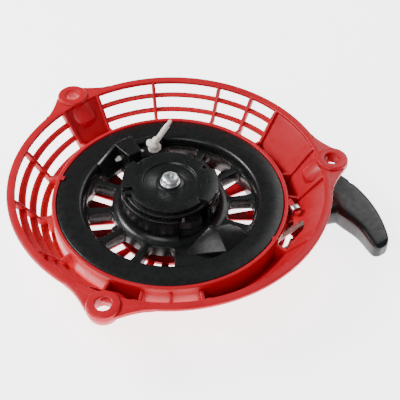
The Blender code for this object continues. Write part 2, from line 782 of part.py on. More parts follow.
def make_centre():
    """Sleeve on the post, friction spring, washer and setting screw."""
    bm = bmesh.new()
    sleeve = [(6.25, POST_FOOT_Z + 0.35), (7.2, POST_FOOT_Z + 0.35), (7.2, 30.9), (6.25, 30.9)]
    add_ring(bm, sleeve, steps=32)
    place("centre_bush", bm, STEEL)
    points = []
    for index in range(41):
        x, y = polar(8.6, 360.0 * index / 16)
        points.append((x, y, 27.2 + 1.15 * index / 16))
    points.append((-9.4, -7.0, 30.1))
    rope("friction_spring", points, STEEL, 0.5, 1)
    bm = bmesh.new()
    washer = [(3.4, GUIDE_RECESS_Z + 0.3), (6.0, GUIDE_RECESS_Z + 0.3), (6.0, 35.9), (3.4, 35.9)]
    add_ring(bm, washer, steps=32)
    place("washer", bm, ZINC)
    bm = bmesh.new()
    shank = [
        (0.9, 8.0), (2.3, 9.4), (2.3, 36.2), (5.0, 36.2), (5.0, 38.3), (4.2, 39.2), (2.2, 39.5),
        (1.0, 38.0),
    ]
    loops = []
    steps = 24
    for radius, z in shank:
        loops.append([bm.verts.new((*polar(radius, 360.0 * index / steps), z)) for index in range(steps)])
    for low, high in zip(loops, loops[1:]):
        for index in range(steps):
            after = (index + 1) % steps
            bm.faces.new((low[index], low[after], high[after], high[index]))
    bm.faces.new(list(reversed(loops[0])))
    bm.faces.new(loops[-1])
    place("setting_screw", bm, ZINC)


def make_recoil_spring():
    """Flat spiral spring between the post and the hub, with a hook at each end."""
    path = [(0.0, 5.9), (0.0, 9.4)]
    turns = 9.0
    steps = 180
    start = 100.0
    for index in range(steps + 1):
        part = index / steps
        azimuth = start + (360.0 * turns + 58.0) * part
        path.append(polar(9.75 + 15.3 * part, azimuth))
    path.append(polar(26.6, 161.0))
    path.append(polar(33.0, 162.6))
    path.append(polar(37.4, 165.0))
    path.append(polar(38.0, 169.0))
    path.append(polar(36.2, 170.5))
    half = 0.22
    left = []
    right = []
    for index, point in enumerate(path):
        before = Vector(path[max(index - 1, 0)])
        after = Vector(path[min(index + 1, len(path) - 1)])
        along = (after - before).normalized()
        side = Vector((-along.y, along.x)) * half
        left.append(tuple(Vector(point) + side))
        right.append(tuple(Vector(point) - side))
    bm = bmesh.new()
    bottom, top = 3.6, 13.0
    rows = []
    for a, b in zip(left, right):
        rows.append([
            bm.verts.new((*a, bottom)), bm.verts.new((*b, bottom)),
            bm.verts.new((*b, top)), bm.verts.new((*a, top)),
        ])
    for near, far in zip(rows, rows[1:]):
        for side in range(4):
            after = (side + 1) % 4
            bm.faces.new((near[side], near[after], far[after], far[side]))
    bm.faces.new(rows[0])
    bm.faces.new(list(reversed(rows[-1])))
    place("recoil_spring", bm, STEEL)


def make_rope():
    """Rope from its knot on the reel, round the drum in two layers, and out to the grip."""
    points = []
    steps = round(ROPE_TURNS * 26)
    first = 2.55 / ROPE_TURNS
    exit_azimuth = PULL_AZIMUTH - 90.0 - ROPE_JOIN
    for index in range(steps + 1):
        part = 1.0 - index / steps
        azimuth = exit_azimuth - (360.0 * ROPE_TURNS - ROPE_JOIN) * part
        back = 1.0 - part
        if back < first:
            z = ROPE_TOP_Z + (ROPE_LOW_Z - ROPE_TOP_Z) * back / first
            radius = ROPE_LAYER_1_R
        else:
            share = (back - first) / (1.0 - first)
            ease = min(1.0, share * 6.0)
            z = ROPE_LOW_Z + (ROPE_EXIT_Z - ROPE_LOW_Z) * share
            radius = ROPE_LAYER_1_R + (ROPE_LAYER_2_R - ROPE_LAYER_1_R) * ease
        points.append((*polar(radius, azimuth), z))
    lead = [tuple(point) for point in reversed(lead_path()[1:])]
    rope("rope_windings", lead + points, ROPE_FIBRE, ROPE_R - 0.02)
    frame = pull_frame()
    run = [frame @ Vector((x, 0.0, 0.0)) for x in (0.1, 14.0, 28.0, 42.0, GRIP_START - GAP)]
    rope("rope_run", run, ROPE_FIBRE, ROPE_R)
    bm = bmesh.new()
    bmesh.ops.create_uvsphere(bm, u_segments=12, v_segments=8, radius=4.8)
    bmesh.ops.scale(bm, verts=bm.verts, vec=(1.0, 1.0, 0.9))
    centre = Vector((17.6, 37.6, 26.6))
    bmesh.ops.translate(bm, verts=bm.verts, vec=centre)
    place("rope_knot", bm, ROPE_FIBRE, centre)
    out = Vector((0.92, 0.30, 0.26)).normalized()
    start = centre + out * 5.4
    tail = [start + out * step for step in (0.0, 5.0, 10.0, 15.0, 17.0)]
    rope("rope_tail", tail, ROPE_FIBRE, ROPE_R)


def grip_outline():
    """Half outline of the pull grip, from the neck out to the tip and back over the palm side."""
    inner = [
        (0.0, 5.8), (1.2, 8.4), (4.0, 10.4), (8.5, 12.4), (12.6, 15.6), (15.2, 20.0), (15.6, 26.0),
        (14.6, 34.0), (13.6, 41.0),
    ]
    tip = [(14.4, 43.4), (16.4, 44.0), (22.0, 44.0), (24.4, 43.0)]
    palm = []
    for index in range(1, 9):
        across = 43.0 * (1.0 - index / 8)
        palm.append((37.0 - 12.6 * (across / 43.0) ** 2.1, across))
    return inner + tip + palm


def grip_frame():
    """Frame at the grip's neck on the rope's line."""
    start = pull_frame() @ Vector((GRIP_START, 0.0, 0.0))
    turn = Matrix.Rotation(math.radians(GRIP_YAW), 4, "Z")
    return Matrix.Translation((start.x, start.y, GRIP_Z)) @ turn


def make_grip():
    """T-shaped pull grip with a knot pocket, and the knot in it."""
    half = grip_outline()
    outline = [(u, -v) for u, v in half]
    outline += [(u, v) for u, v in reversed(half[:-1])]
    bm = bmesh.new()
    layers = ((-1.0, 0.9), (-0.8, 0.0), (0.8, 0.0), (1.0, 0.9))
    centre = Vector((20.0, 0.0))
    loops = []
    for level, inset in layers:
        loop = []
        for u, v in outline:
            spot = Vector((u, v))
            pull = (centre - spot).normalized() * inset
            if u < 1.0:
                pull = Vector((0.0, pull.y))
            spread = 1.0 - 0.36 * (abs(v) / GRIP_HALF_WIDTH) ** 1.6
            spread *= min(1.0, 0.72 + 0.028 * u)
            loop.append(bm.verts.new((spot.x + pull.x, spot.y + pull.y, level * GRIP_THICK / 2 * spread)))
        loops.append(loop)
    size = len(outline)
    for near, far in zip(loops, loops[1:]):
        for side in range(size):
            after = (side + 1) % size
            bm.faces.new((near[side], near[after], far[after], far[side]))
    caps = [bm.faces.new(list(reversed(loops[0]))), bm.faces.new(loops[-1])]
    bmesh.ops.triangulate(bm, faces=caps)
    bmesh.ops.transform(bm, matrix=grip_frame(), verts=bm.verts)
    grip = place("grip", bm, BLACK_PLASTIC)
    bm = bmesh.new()
    add_prism(bm, circle(2.4, steps=20), 50.0, GRIP_START + 20.0, along_rope())
    boolean(grip, tool("grip_rope_hole", bm), "DIFFERENCE")
    bm = bmesh.new()
    add_prism(bm, circle(5.0, steps=24), GRIP_START + 14.0, GRIP_START + 50.0, along_rope())
    boolean(grip, tool("grip_pocket", bm), "DIFFERENCE")
    bm = bmesh.new()
    bmesh.ops.create_uvsphere(bm, u_segments=12, v_segments=8, radius=4.4)
    centre = pull_frame() @ Vector((GRIP_START + 19.4, 0.0, 0.0))
    bmesh.ops.translate(bm, verts=bm.verts, vec=centre)
    place("grip_knot", bm, ROPE_FIBRE, centre)
    frame = pull_frame()
    inside = [frame @ Vector((GRIP_START + step, 0.0, 0.0)) for step in (0.0, 5.0, 10.0, 14.6)]
    rope("rope_end", inside, ROPE_FIBRE, ROPE_R)


def main():
    """Clears the scene and makes every piece."""
    for old in list(bpy.data.objects):
        bpy.data.objects.remove(old, do_unlink=True)
    make_cover()
    make_outlet_hardware()
    make_reel()
    make_ratchets()
    make_guide()
    make_centre()
    make_recoil_spring()
    make_rope()
    make_grip()


main()
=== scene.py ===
import math

import bmesh
import bpy
from mathutils import Matrix, Vector


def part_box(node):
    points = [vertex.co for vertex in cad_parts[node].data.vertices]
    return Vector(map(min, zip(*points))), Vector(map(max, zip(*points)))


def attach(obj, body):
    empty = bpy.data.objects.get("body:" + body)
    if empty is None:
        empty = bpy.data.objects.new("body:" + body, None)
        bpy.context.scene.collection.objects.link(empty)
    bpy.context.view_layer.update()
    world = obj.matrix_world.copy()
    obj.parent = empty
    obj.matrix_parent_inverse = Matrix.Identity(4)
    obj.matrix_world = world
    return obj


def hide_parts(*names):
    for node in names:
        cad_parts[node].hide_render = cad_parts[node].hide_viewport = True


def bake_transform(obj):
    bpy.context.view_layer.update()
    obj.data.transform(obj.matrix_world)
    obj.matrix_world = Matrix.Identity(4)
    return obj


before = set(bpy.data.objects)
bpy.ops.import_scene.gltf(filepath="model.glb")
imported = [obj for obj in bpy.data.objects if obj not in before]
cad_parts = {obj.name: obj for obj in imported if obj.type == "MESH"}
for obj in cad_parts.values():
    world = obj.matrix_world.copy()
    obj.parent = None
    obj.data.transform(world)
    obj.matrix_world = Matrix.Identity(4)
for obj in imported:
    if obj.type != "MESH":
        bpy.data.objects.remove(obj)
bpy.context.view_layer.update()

MM = 0.001


def node_box(node):
    """Lowest and highest corner of a CAD node, in millimetres."""
    low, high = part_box(node)
    return Vector(low) / MM, Vector(high) / MM


# How far stretches of one moulding run into each other, in millimetres or in degrees of a turn
LAP = 0.4

# Cover
RIM_OUTER_R = 93.4
RIM_INNER_R = 88.6
RIM_TOP_Z = 36.5
RIM_BOTTOM_Z = 34.1
RIM_MARK_R = 91.6
RIM_MARK_AZIMUTHS = (76.0, 104.5, 222.0, 197.0, 318.0, 344.0)
SKIRT_SLOPE = 0.73
SKIRT_OUTER_R0 = 67.0
SKIRT_THICK_R = 3.3
WALL_OUTER_R = 69.3
WALL_INNER_R = 66.8
WALL_TOP_Z = 22.7
WALL_FOOT_Z = 3.6
WALL_WINDOW = (292.0, 306.0)
DECK_Z = 2.2
DECK_HUB_R = 33.4
DECK_EDGE_R = (59.6, 66.6)
POST_FOOT_R = 9.0
POST_FOOT_Z = 14.6
POST_R = 6.0
POST_TOP_Z = 31.2
SCREW_HOLE_R = 2.7
HOLE_BOTTOM_Z = 4.0
LUG_CIRCLE_R = 96.4
LUG_AZIMUTHS = (90.0, 210.0, 330.0)
LUG_BOSS_R = 9.3
LUG_HOLE_R = 4.4
LUG_TOP_Z = 38.04
LUG_SPREAD = 17.0
LOUVRE_ZONES = ((3.2, 81.8), (98.2, 201.9), (218.2, 244.5))
SOLID_ZONES = ((81.8, 98.2), (201.9, 218.2))
OUTLET_ZONE = (244.5, 363.2)
LOUVRE_DROP = 7.4
LOUVRE_STEP_R = 5.4
BAR_R = 87.8
BAR_Z = 28.5
BAR_DEPTH = 4.6
BAR_THICK = 1.3
RIB_AZIMUTHS = (
    3.2, 15.8, 30.4, 57.8, 81.8, 98.2, 124.0, 150.5, 177.0, 201.9, 218.2, 231.0, 244.5,
    290.0, 322.5, 338.0,
)
RIB_THICK = 2.2
DECK_SLOT_COUNT = 25
DECK_SLOT_START = -26.7
DECK_SLOT_HALF = 2.2
SPOKE_BOTTOM_Z = 0.03
SPOKE_TOP_Z = 1.5
DECK_SLOT_INNER_R = 33.0
DECK_SLOT_OUTER_R = 60.0

# Reel and guide
FLANGE_R = 66.4
LOWER_FLANGE_R = 64.0
DRUM_OUTER_R = 52.6
DRUM_INNER_R = 50.5
REEL_TOP_Z = 22.1
REEL_BOTTOM_Z = 3.0
WEB_TOP_Z = 16.5
WEB_BOTTOM_Z = 9.0
HUB_OUTER_R = 28.4
HUB_INNER_R = 26.0
HUB_TOP_Z = 30.7
HUB_FLOOR_Z = 17.5
HUB_FLOOR_BOTTOM_Z = 15.0
REEL_BORE_R = 7.5
REEL_BOSS_R = 9.9
REEL_BOSS_TOP_Z = 26.0
HUB_WALLS = ((104.0, 241.0), (284.0, 421.0))
HUB_NOTCHES = ((61.0, 104.0), (241.0, 284.0))
WINDOW_PITCH = 30.0
WINDOW_START = -18.2
WINDOW_INNER_R = 34.5
WINDOW_OUTER_R = 49.4
BLOCKED_WINDOWS = (3, 9, 10)
KNOT_SHELF_Z = 21.6
RATCHET_AZIMUTHS = (42.0, 222.0)
RATCHET_PIVOT_R = 18.0
RATCHET_PIN_R = 2.0
RATCHET_PIN_TOP_Z = 26.4
GUIDE_R = 24.2
GUIDE_INNER_R = 22.0
GUIDE_EAR_R = 27.8
GUIDE_TOP_Z = 35.6
GUIDE_BOTTOM_Z = 32.67
GUIDE_RECESS_Z = 34.4
GUIDE_GROOVE_Z = 34.15
GUIDE_COLLAR_R = 8.0
GUIDE_COLLAR_Z = 31.55
GUIDE_BORE_R = 3.4
GUIDE_RING_INNER_R = 24.0
GUIDE_RING_R = 26.4
GUIDE_RING_Z = 31.2
GUIDE_ARC = (286.0, 338.0)
GUIDE_MARK_R = 19.4
GUIDE_MARK_AZIMUTHS = (20.0, 128.0, 196.0, 262.0, 310.0)
GUIDE_RIM_ZONES = ((162.4, 277.0), (342.4, 347.2), (353.4, 454.0))
GUIDE_EAR_ZONES = ((102.4, 150.4), (157.6, 162.4), (282.4, 342.4))

# Rope and grip
ROPE_R = 1.85
ROPE_LAYER_1_R = 55.1
ROPE_LAYER_2_R = 58.7
ROPE_TOP_Z = 18.1
ROPE_LOW_Z = 7.0
ROPE_EXIT_Z = 11.0
ROPE_TURNS = 3.42
ROPE_JOIN = 0.4
PULL_AZIMUTH = 2.0
OUTLET_START = 44.6
OUTLET_SEAT = 51.4
OUTLET_END = 53.6
OUTLET_R = 8.4
OUTLET_BORE_R = 4.9
POCKET_R = 6.7
POCKET_CORNERS = ((303.0, 24.0), (300.0, 24.0), (294.5, 18.0))
POCKET_DEPTH = -1.6  # towards the axis, so that the pocket's corners stand clear of the skirt
POCKET_MARGIN = 1.2
GRIP_START = 57.4
GRIP_Z = 9.3
GRIP_YAW = -5.5
GRIP_HALF_WIDTH = 44.0
GRIP_HALF_THICK = 7.2

# Studio
FLOOR_HALF = 6000.0
FLOOR_GLOW = 3.6
SKY_GLOW = 0.22
LIGHT_AIM_Z = 20.0
LIGHTS = (  # name, place, side and power in watts
    ("key", (-300.0, 520.0, 620.0), 300.0, 8.0),
    ("fill", (-620.0, -260.0, 460.0), 420.0, 3.2),
    ("side", (560.0, 120.0, 480.0), 360.0, 1.6),
)

# Camera, in millimetres and degrees
CAMERA_PLACE = (-250.7, -318.2, 441.9)
CAMERA_AIM = (2.8, -23.3, 36.5)
CAMERA_ROLL = 0.457
CAMERA_LENS = 89.64
CAMERA_SENSOR = 36.0


# ---------------------------------------------------------------- mesh helpers

def polar(radius, degrees):
    """Point in plan at a radius and an azimuth."""
    angle = math.radians(degrees)
    return radius * math.cos(angle), radius * math.sin(angle)


def turned(profile, start=0.0, end=360.0, step=1.5):
    """Turned body of a closed (radius, z) outline, over a whole turn or a sector."""
    bm = bmesh.new()
    whole = end - start >= 360.0
    steps = max(2, math.ceil((end - start) / step))
    count = steps if whole else steps + 1
    poles = {}
    loops = []
    for index in range(count):
        azimuth = start + (end - start) * index / steps
        loop = []
        for place, (radius, z) in enumerate(profile):
            if radius == 0.0 and place in poles:
                loop.append(poles[place])
                continue
            vert = bm.verts.new((*polar(radius, azimuth), z))
            if radius == 0.0:
                poles[place] = vert
            loop.append(vert)
        loops.append(loop)
    for index in range(steps):
        near = loops[index]
        far = loops[(index + 1) % count]
        for side in range(len(profile)):
            after = (side + 1) % len(profile)
            corners = list(dict.fromkeys((near[side], near[after], far[after], far[side])))
            if len(corners) > 2:
                bm.faces.new(corners)
    if not whole:
        bm.faces.new(loops[0])
        bm.faces.new(list(reversed(loops[-1])))
    return bm


def lofted(loops, closed_ends=True):
    """Body through a row of closed loops of points."""
    bm = bmesh.new()
    rows = [[bm.verts.new(point) for point in loop] for loop in loops]
    size = len(rows[0])
    for near, far in zip(rows, rows[1:]):
        for side in range(size):
            after = (side + 1) % size
            bm.faces.new((near[side], near[after], far[after], far[side]))
    if closed_ends:
        bm.faces.new(list(reversed(rows[0])))
        bm.faces.new(rows[-1])
    return bm


def prism(outline, low, high, turn=None):
    """Upright body of a plan outline between two heights, optionally moved by a matrix."""
    bm = lofted([[(x, y, z) for x, y in outline] for z in (low, high)])
    if turn:
        bmesh.ops.transform(bm, matrix=turn, verts=bm.verts)
    return bm


def fin(outline, azimuth, thickness):
    """Radial web: a (radius, z) outline with a thickness, stood at an azimuth."""
    upright = Matrix(((1, 0, 0, 0), (0, 0, -1, 0), (0, 1, 0, 0), (0, 0, 0, 1)))
    turn = Matrix.Rotation(math.radians(azimuth), 4, "Z") @ upright
    return prism(outline, -thickness / 2, thickness / 2, turn)


def circle(radius, centre=(0.0, 0.0), steps=48):
    """Round outline."""
    points = []
    for index in range(steps):
        x, y = polar(radius, 360.0 * index / steps)
        points.append((centre[0] + x, centre[1] + y))
    return points


def hull(points):
    """Smallest convex body round the points, with flat sides as single faces."""
    bm = bmesh.new()
    for point in points:
        bm.verts.new(point)
    bmesh.ops.convex_hull(bm, input=bm.verts)
    loose = [vert for vert in bm.verts if not vert.link_faces]
    bmesh.ops.delete(bm, geom=loose, context="VERTS")
    bmesh.ops.dissolve_limit(bm, angle_limit=math.radians(1.0), verts=bm.verts, edges=bm.edges)
    return bm


def add(target, part, edge=0.0, sharp=28.0, segments=3):
    """Rounds a closed part's sharp edges and puts it into the target."""
    bmesh.ops.recalc_face_normals(part, faces=part.faces)
    if edge:
        limit = math.radians(sharp)
        crisp = [line for line in part.edges if line.calc_face_angle(0.0) > limit]
        bmesh.ops.bevel(
            part, geom=crisp, offset=edge, offset_type="OFFSET", segments=segments, profile=0.5,
            affect="EDGES", clamp_overlap=True,
        )
    mesh = bpy.data.meshes.new("part")
    part.to_mesh(mesh)
    part.free()
    target.from_mesh(mesh)
    bpy.data.meshes.remove(mesh)


def shape(name, bm):
    """Smooth-shaded object from a mesh built in millimetres."""
    bmesh.ops.scale(bm, verts=bm.verts, vec=(MM, MM, MM))
    mesh = bpy.data.meshes.new(name)
    bm.to_mesh(mesh)
    bm.free()
    mesh.shade_smooth()
    mesh.set_sharp_from_angle(angle=math.radians(40.0))
    made = bpy.data.objects.new(name, mesh)
    bpy.context.collection.objects.link(made)
    return made


def settle(made):
    """Turns an object's modifiers into its own mesh."""
    bpy.context.view_layer.update()
    graph = bpy.context.evaluated_depsgraph_get()
    mesh = bpy.data.meshes.new_from_object(made.evaluated_get(graph))
    made.modifiers.clear()
    made.data = mesh


def carve(made, cutters):
    """Cuts closed parts out of an object."""
    for bm in cutters:
        bmesh.ops.recalc_face_normals(bm, faces=bm.faces)
        cutter = shape("cutter", bm)
        step = made.modifiers.new("cut", "BOOLEAN")
        step.operation = "DIFFERENCE"
        step.solver = "EXACT"
        step.object = cutter
        settle(made)
        bpy.data.objects.remove(cutter, do_unlink=True)
    made.data.shade_smooth()
    made.data.set_sharp_from_angle(angle=math.radians(40.0))


def fit(made, body, slot, look, *nodes):
    """Gives a piece its material and body, and lets it stand for its CAD nodes; its slot is not used."""
    made.data.materials.clear()
    made.data.materials.append(look)
    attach(made, body)
    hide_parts(*nodes)
    return made


# ---------------------------------------------------------------- materials

def material(name, colour, roughness, metallic=0.0):
    """New Principled material and its shader."""
    made = bpy.data.materials.new(name)
    made.use_nodes = True
    shader = made.node_tree.nodes["Principled BSDF"]
    shader.inputs["Base Color"].default_value = (*colour, 1.0)
    shader.inputs["Roughness"].default_value = roughness
    shader.inputs["Metallic"].default_value = metallic
    return made, shader


def noise(made, scale, detail=3.0, stretch=(1.0, 1.0, 1.0)):
    """Noise texture in the object's own coordinates, at so many cells a metre."""
    nodes = made.node_tree.nodes
    links = made.node_tree.links
    place = nodes.new("ShaderNodeTexCoord")
    mapping = nodes.new("ShaderNodeMapping")
    mapping.inputs["Scale"].default_value = stretch
    texture = nodes.new("ShaderNodeTexNoise")
    texture.inputs["Scale"].default_value = scale
    texture.inputs["Detail"].default_value = detail
    links.new(place.outputs["Object"], mapping.inputs["Vector"])
    links.new(mapping.outputs["Vector"], texture.inputs["Vector"])
    return texture


def vary(made, socket, texture, low, high):
    """Drives a shader socket between two values or colours with a texture."""
    nodes = made.node_tree.nodes
    links = made.node_tree.links
    shader = nodes["Principled BSDF"]
    ramp = nodes.new("ShaderNodeValToRGB")
    for stop, place, value in zip(ramp.color_ramp.elements, (0.32, 0.68), (low, high)):
        stop.position = place
        stop.color = (*value, 1.0) if isinstance(value, tuple) else (value, value, value, 1.0)
    links.new(texture.outputs["Fac"], ramp.inputs["Fac"])
    links.new(ramp.outputs["Color"], shader.inputs[socket])


def roughen(made, layers):
    """Stacks bumps of (texture, strength, depth in metres) on a material."""
    nodes = made.node_tree.nodes
    links = made.node_tree.links
    before = None
    for texture, strength, depth in layers:
        bump = nodes.new("ShaderNodeBump")
        bump.inputs["Strength"].default_value = strength
        bump.inputs["Distance"].default_value = depth
        links.new(texture.outputs["Fac"], bump.inputs["Height"])
        if before:
            links.new(before.outputs["Normal"], bump.inputs["Normal"])
        before = bump
    links.new(before.outputs["Normal"], nodes["Principled BSDF"].inputs["Normal"])


def red_plastic():
    """Glossy moulded red with faint flow marks and a fine moulded skin."""
    made, shader = material("moulded_red", (0.50, 0.007, 0.017), 0.34)
    shader.inputs["Specular IOR Level"].default_value = 0.28
    vary(made, "Base Color", noise(made, 55.0, 5.0), (0.46, 0.006, 0.015), (0.54, 0.009, 0.020))
    vary(made, "Roughness", noise(made, 240.0, 4.0), 0.27, 0.40)
    roughen(made, [(noise(made, 90.0), 0.10, 0.0006), (noise(made, 2600.0, 2.0), 0.10, 0.00006)])
    return made


def black_plastic(name, base, rough):
    """Satin moulded black with a fine spark-eroded grain."""
    made, shader = material(name, base, rough)
    shader.inputs["Specular IOR Level"].default_value = 0.34
    lighter = tuple(1.4 * part for part in base)
    vary(made, "Base Color", noise(made, 130.0, 5.0), base, lighter)
    vary(made, "Roughness", noise(made, 320.0, 4.0), rough - 0.04, rough + 0.07)
    roughen(made, [(noise(made, 60.0), 0.05, 0.0005), (noise(made, 3400.0, 2.0), 0.05, 0.00004)])
    return made


def metal(name, dark, light, low, high, stretch=(1.0, 1.0, 1.0)):
    """Bright formed or plated metal with drawn marks."""
    made, _ = material(name, light, low, 1.0)
    vary(made, "Base Color", noise(made, 160.0, 3.0), dark, light)
    vary(made, "Roughness", noise(made, 300.0, 3.0, stretch), low, high)
    roughen(made, [(noise(made, 1500.0, 2.0, stretch), 0.05, 0.00003)])
    return made


def rope_fibre():
    """Off-white polyester cord with fine yarns and slight soiling."""
    made, shader = material("braided_cord", (0.78, 0.74, 0.66), 0.85)
    shader.inputs["Sheen Weight"].default_value = 0.25
    shader.inputs["Sheen Roughness"].default_value = 0.5
    vary(made, "Base Color", noise(made, 500.0, 5.0), (0.74, 0.69, 0.60), (0.94, 0.92, 0.87))
    vary(made, "Roughness", noise(made, 1500.0, 3.0), 0.75, 0.95)
    roughen(made, [(noise(made, 4200.0, 3.0), 0.5, 0.00012)])
    return made


RED = red_plastic()
BLACK = black_plastic("moulded_black", (0.005, 0.0055, 0.0056), 0.28)
GRIP_BLACK = black_plastic("grip_black", (0.004, 0.0045, 0.005), 0.30)
STEEL = metal("formed_steel", (0.62, 0.61, 0.60), (0.82, 0.81, 0.79), 0.24, 0.38)
SPRING_STEEL = metal("spring_steel", (0.16, 0.17, 0.19), (0.42, 0.43, 0.45), 0.26, 0.46, (1, 1, 8))
ZINC = metal("zinc_plate", (0.70, 0.72, 0.74), (0.88, 0.90, 0.92), 0.26, 0.38)
ROPE = rope_fibre()


# ---------------------------------------------------------------- cover

def skirt_r(z, outer):
    """Radius of the skirt's outer or inner face at a height."""
    radius = SKIRT_OUTER_R0 + SKIRT_SLOPE * z
    return radius if outer else radius - SKIRT_THICK_R


def pull_frame():
    """Frame whose X runs along the rope, with the rope's line on its X axis."""
    turn = Matrix.Rotation(math.radians(PULL_AZIMUTH), 4, "Z")
    return turn @ Matrix.Translation((0.0, -ROPE_LAYER_2_R, ROPE_EXIT_Z))


def along_rope(bm):
    """Lays a body turned about Z along the rope's line."""
    lie = Matrix(((0, 0, 1, 0), (1, 0, 0, 0), (0, 1, 0, 0), (0, 0, 0, 1)))
    bmesh.ops.transform(bm, matrix=pull_frame() @ lie, verts=bm.verts)
    return bm


def add_deck(cover):
    """Slotted outer face with the post in its middle."""
    post = [
        (0.0, 0.0), (DECK_HUB_R, 0.0), (DECK_HUB_R, DECK_Z), (10.5, DECK_Z), (9.3, 2.9),
        (POST_FOOT_R, 4.2), (POST_FOOT_R, POST_FOOT_Z), (POST_R, POST_FOOT_Z), (POST_R, POST_TOP_Z),
        (SCREW_HOLE_R, POST_TOP_Z), (SCREW_HOLE_R, HOLE_BOTTOM_Z), (0.0, HOLE_BOTTOM_Z),
    ]
    add(cover, turned(post), 0.25)
    inner, outer = DECK_EDGE_R
    add(cover, turned([(inner, 0.0), (outer, 0.0), (outer, DECK_Z), (inner, DECK_Z)]), 0.25)
    pitch = 360.0 / DECK_SLOT_COUNT
    for index in range(DECK_SLOT_COUNT):
        start = DECK_SLOT_START + pitch * index
        outline = []
        for azimuth, side, radii in (
            (start, 1.0, (DECK_SLOT_INNER_R - LAP, DECK_SLOT_OUTER_R + LAP)),
            (start + pitch, -1.0, (DECK_SLOT_OUTER_R + LAP, DECK_SLOT_INNER_R - LAP)),
        ):
            turn = Matrix.Rotation(math.radians(azimuth), 2)
            for radius in radii:
                outline.append(tuple(turn @ Vector((radius, side * DECK_SLOT_HALF))))
        add(cover, prism(outline, SPOKE_BOTTOM_Z, SPOKE_TOP_Z), 0.3)


def add_wall(cover):
    """Round wall of the reel's well, with the rope's window."""
    near, far = WALL_WINDOW
    for start, end, low, high in (
        (far, near + 360.0, WALL_FOOT_Z, WALL_TOP_Z),
        (near - 0.6, far + 0.6, WALL_FOOT_Z, ROPE_EXIT_Z - 4.6),
        (near - 0.6, far + 0.6, ROPE_EXIT_Z + 5.4, WALL_TOP_Z),
    ):
        profile = [
            (WALL_INNER_R, low), (WALL_OUTER_R, low), (WALL_OUTER_R, high), (WALL_INNER_R, high),
        ]
        add(cover, turned(profile, start, end), 0.7)


def skirt_foot():
    """Lowest points of the skirt's outer face, from the deck's edge upwards."""
    return [(SKIRT_OUTER_R0 - 1.6, 0.0), (SKIRT_OUTER_R0 - 0.3, 0.0), (skirt_r(1.2, True), 1.2)]


def add_louvres(cover):
    """Thin, nearly level bars of the open zones and the band below them."""
    bar = [
        (BAR_R - BAR_DEPTH, BAR_Z + 0.6 - BAR_THICK), (BAR_R - 0.5, BAR_Z - BAR_THICK),
        (BAR_R, BAR_Z), (BAR_R - BAR_DEPTH, BAR_Z + 0.6),
    ]
    band = skirt_foot() + [(skirt_r(6.3, True), 6.3), (68.0, 6.3), (66.2, 3.0)]
    for start, end in LOUVRE_ZONES:
        for index in range(3):
            profile = [(r - LOUVRE_STEP_R * index, z - LOUVRE_DROP * index) for r, z in bar]
            add(cover, turned(profile, start - LAP, end + LAP), 0.4)
        add(cover, turned(band, start - LAP, end + LAP), 0.4)


def skirt_profile():
    """Outline of the closed skirt between the deck and the rim."""
    top = RIM_BOTTOM_Z + LAP
    return skirt_foot() + [
        (skirt_r(top, True), top), (skirt_r(top, False), top), (69.0, 7.4), (68.0, 6.3), (66.2, 3.0),
    ]


def add_skirt(cover):
    """Closed zones behind two of the ears. The third ear stands over the outlet's skirt."""
    for start, end in SOLID_ZONES:
        add(cover, turned(skirt_profile(), start - LAP, end + LAP), 0.5)


def add_rim(cover):
    """Flat rim with ejector marks."""
    rim = [
        (RIM_INNER_R, RIM_BOTTOM_Z), (RIM_OUTER_R, RIM_BOTTOM_Z), (RIM_OUTER_R, RIM_TOP_Z),
        (RIM_INNER_R, RIM_TOP_Z),
    ]
    add(cover, turned(rim), 0.7)
    for azimuth in RIM_MARK_AZIMUTHS:
        centre = polar(RIM_MARK_R, azimuth)
        disc = turned([(1.5, 36.3), (2.0, 36.3), (1.9, 36.58), (1.6, 36.58)], step=9.0)
        bmesh.ops.translate(disc, verts=disc.verts, vec=(*centre, 0.0))
        add(cover, disc)


def add_ribs(cover):
    """Radial webs between the rim, the skirt and the well wall."""
    foot_z = 5.0
    outline = [
        (WALL_OUTER_R - 1.2, foot_z),
        (skirt_r(foot_z, True) - 0.6, foot_z),
        (skirt_r(RIM_BOTTOM_Z - 1.0, True) - 0.6, RIM_BOTTOM_Z - 1.0),
        (skirt_r(RIM_BOTTOM_Z, True) - 0.8, RIM_TOP_Z - 0.3),
        (RIM_INNER_R + 0.1, RIM_TOP_Z - 0.3),
        (86.0, 33.4),
        (75.5, 18.6),
        (WALL_OUTER_R - 1.2, 20.4),
    ]
    for azimuth in RIB_AZIMUTHS:
        add(cover, fin(outline, azimuth, RIB_THICK), 0.5)


def lug_radius(away):
    """Outer radius of an ear at an azimuth away from its bolt."""
    flare = 7.5 * ((LUG_SPREAD - abs(away)) / 11.5) ** 2
    radius = RIM_OUTER_R - 0.3 + flare
    across = LUG_CIRCLE_R * math.sin(math.radians(away))
    if abs(across) < LUG_BOSS_R:
        boss = LUG_CIRCLE_R * math.cos(math.radians(away)) + math.sqrt(LUG_BOSS_R**2 - across**2)
        radius = boss if abs(away) < 4.5 else max(radius, boss)
    return radius


def lug_edge(direction):
    """Distance from the bolt's centre to the ear's edge in a direction, in degrees."""
    step = 0.1
    reach = LUG_HOLE_R + 1.0
    while True:
        x, y = polar(reach, direction)
        spot = Vector((LUG_CIRCLE_R + x, y))
        away = math.degrees(math.atan2(spot.y, spot.x))
        outside = spot.length > lug_radius(away) or abs(away) > LUG_SPREAD
        if outside or spot.length < RIM_INNER_R + 1.3:
            return reach
        reach += step


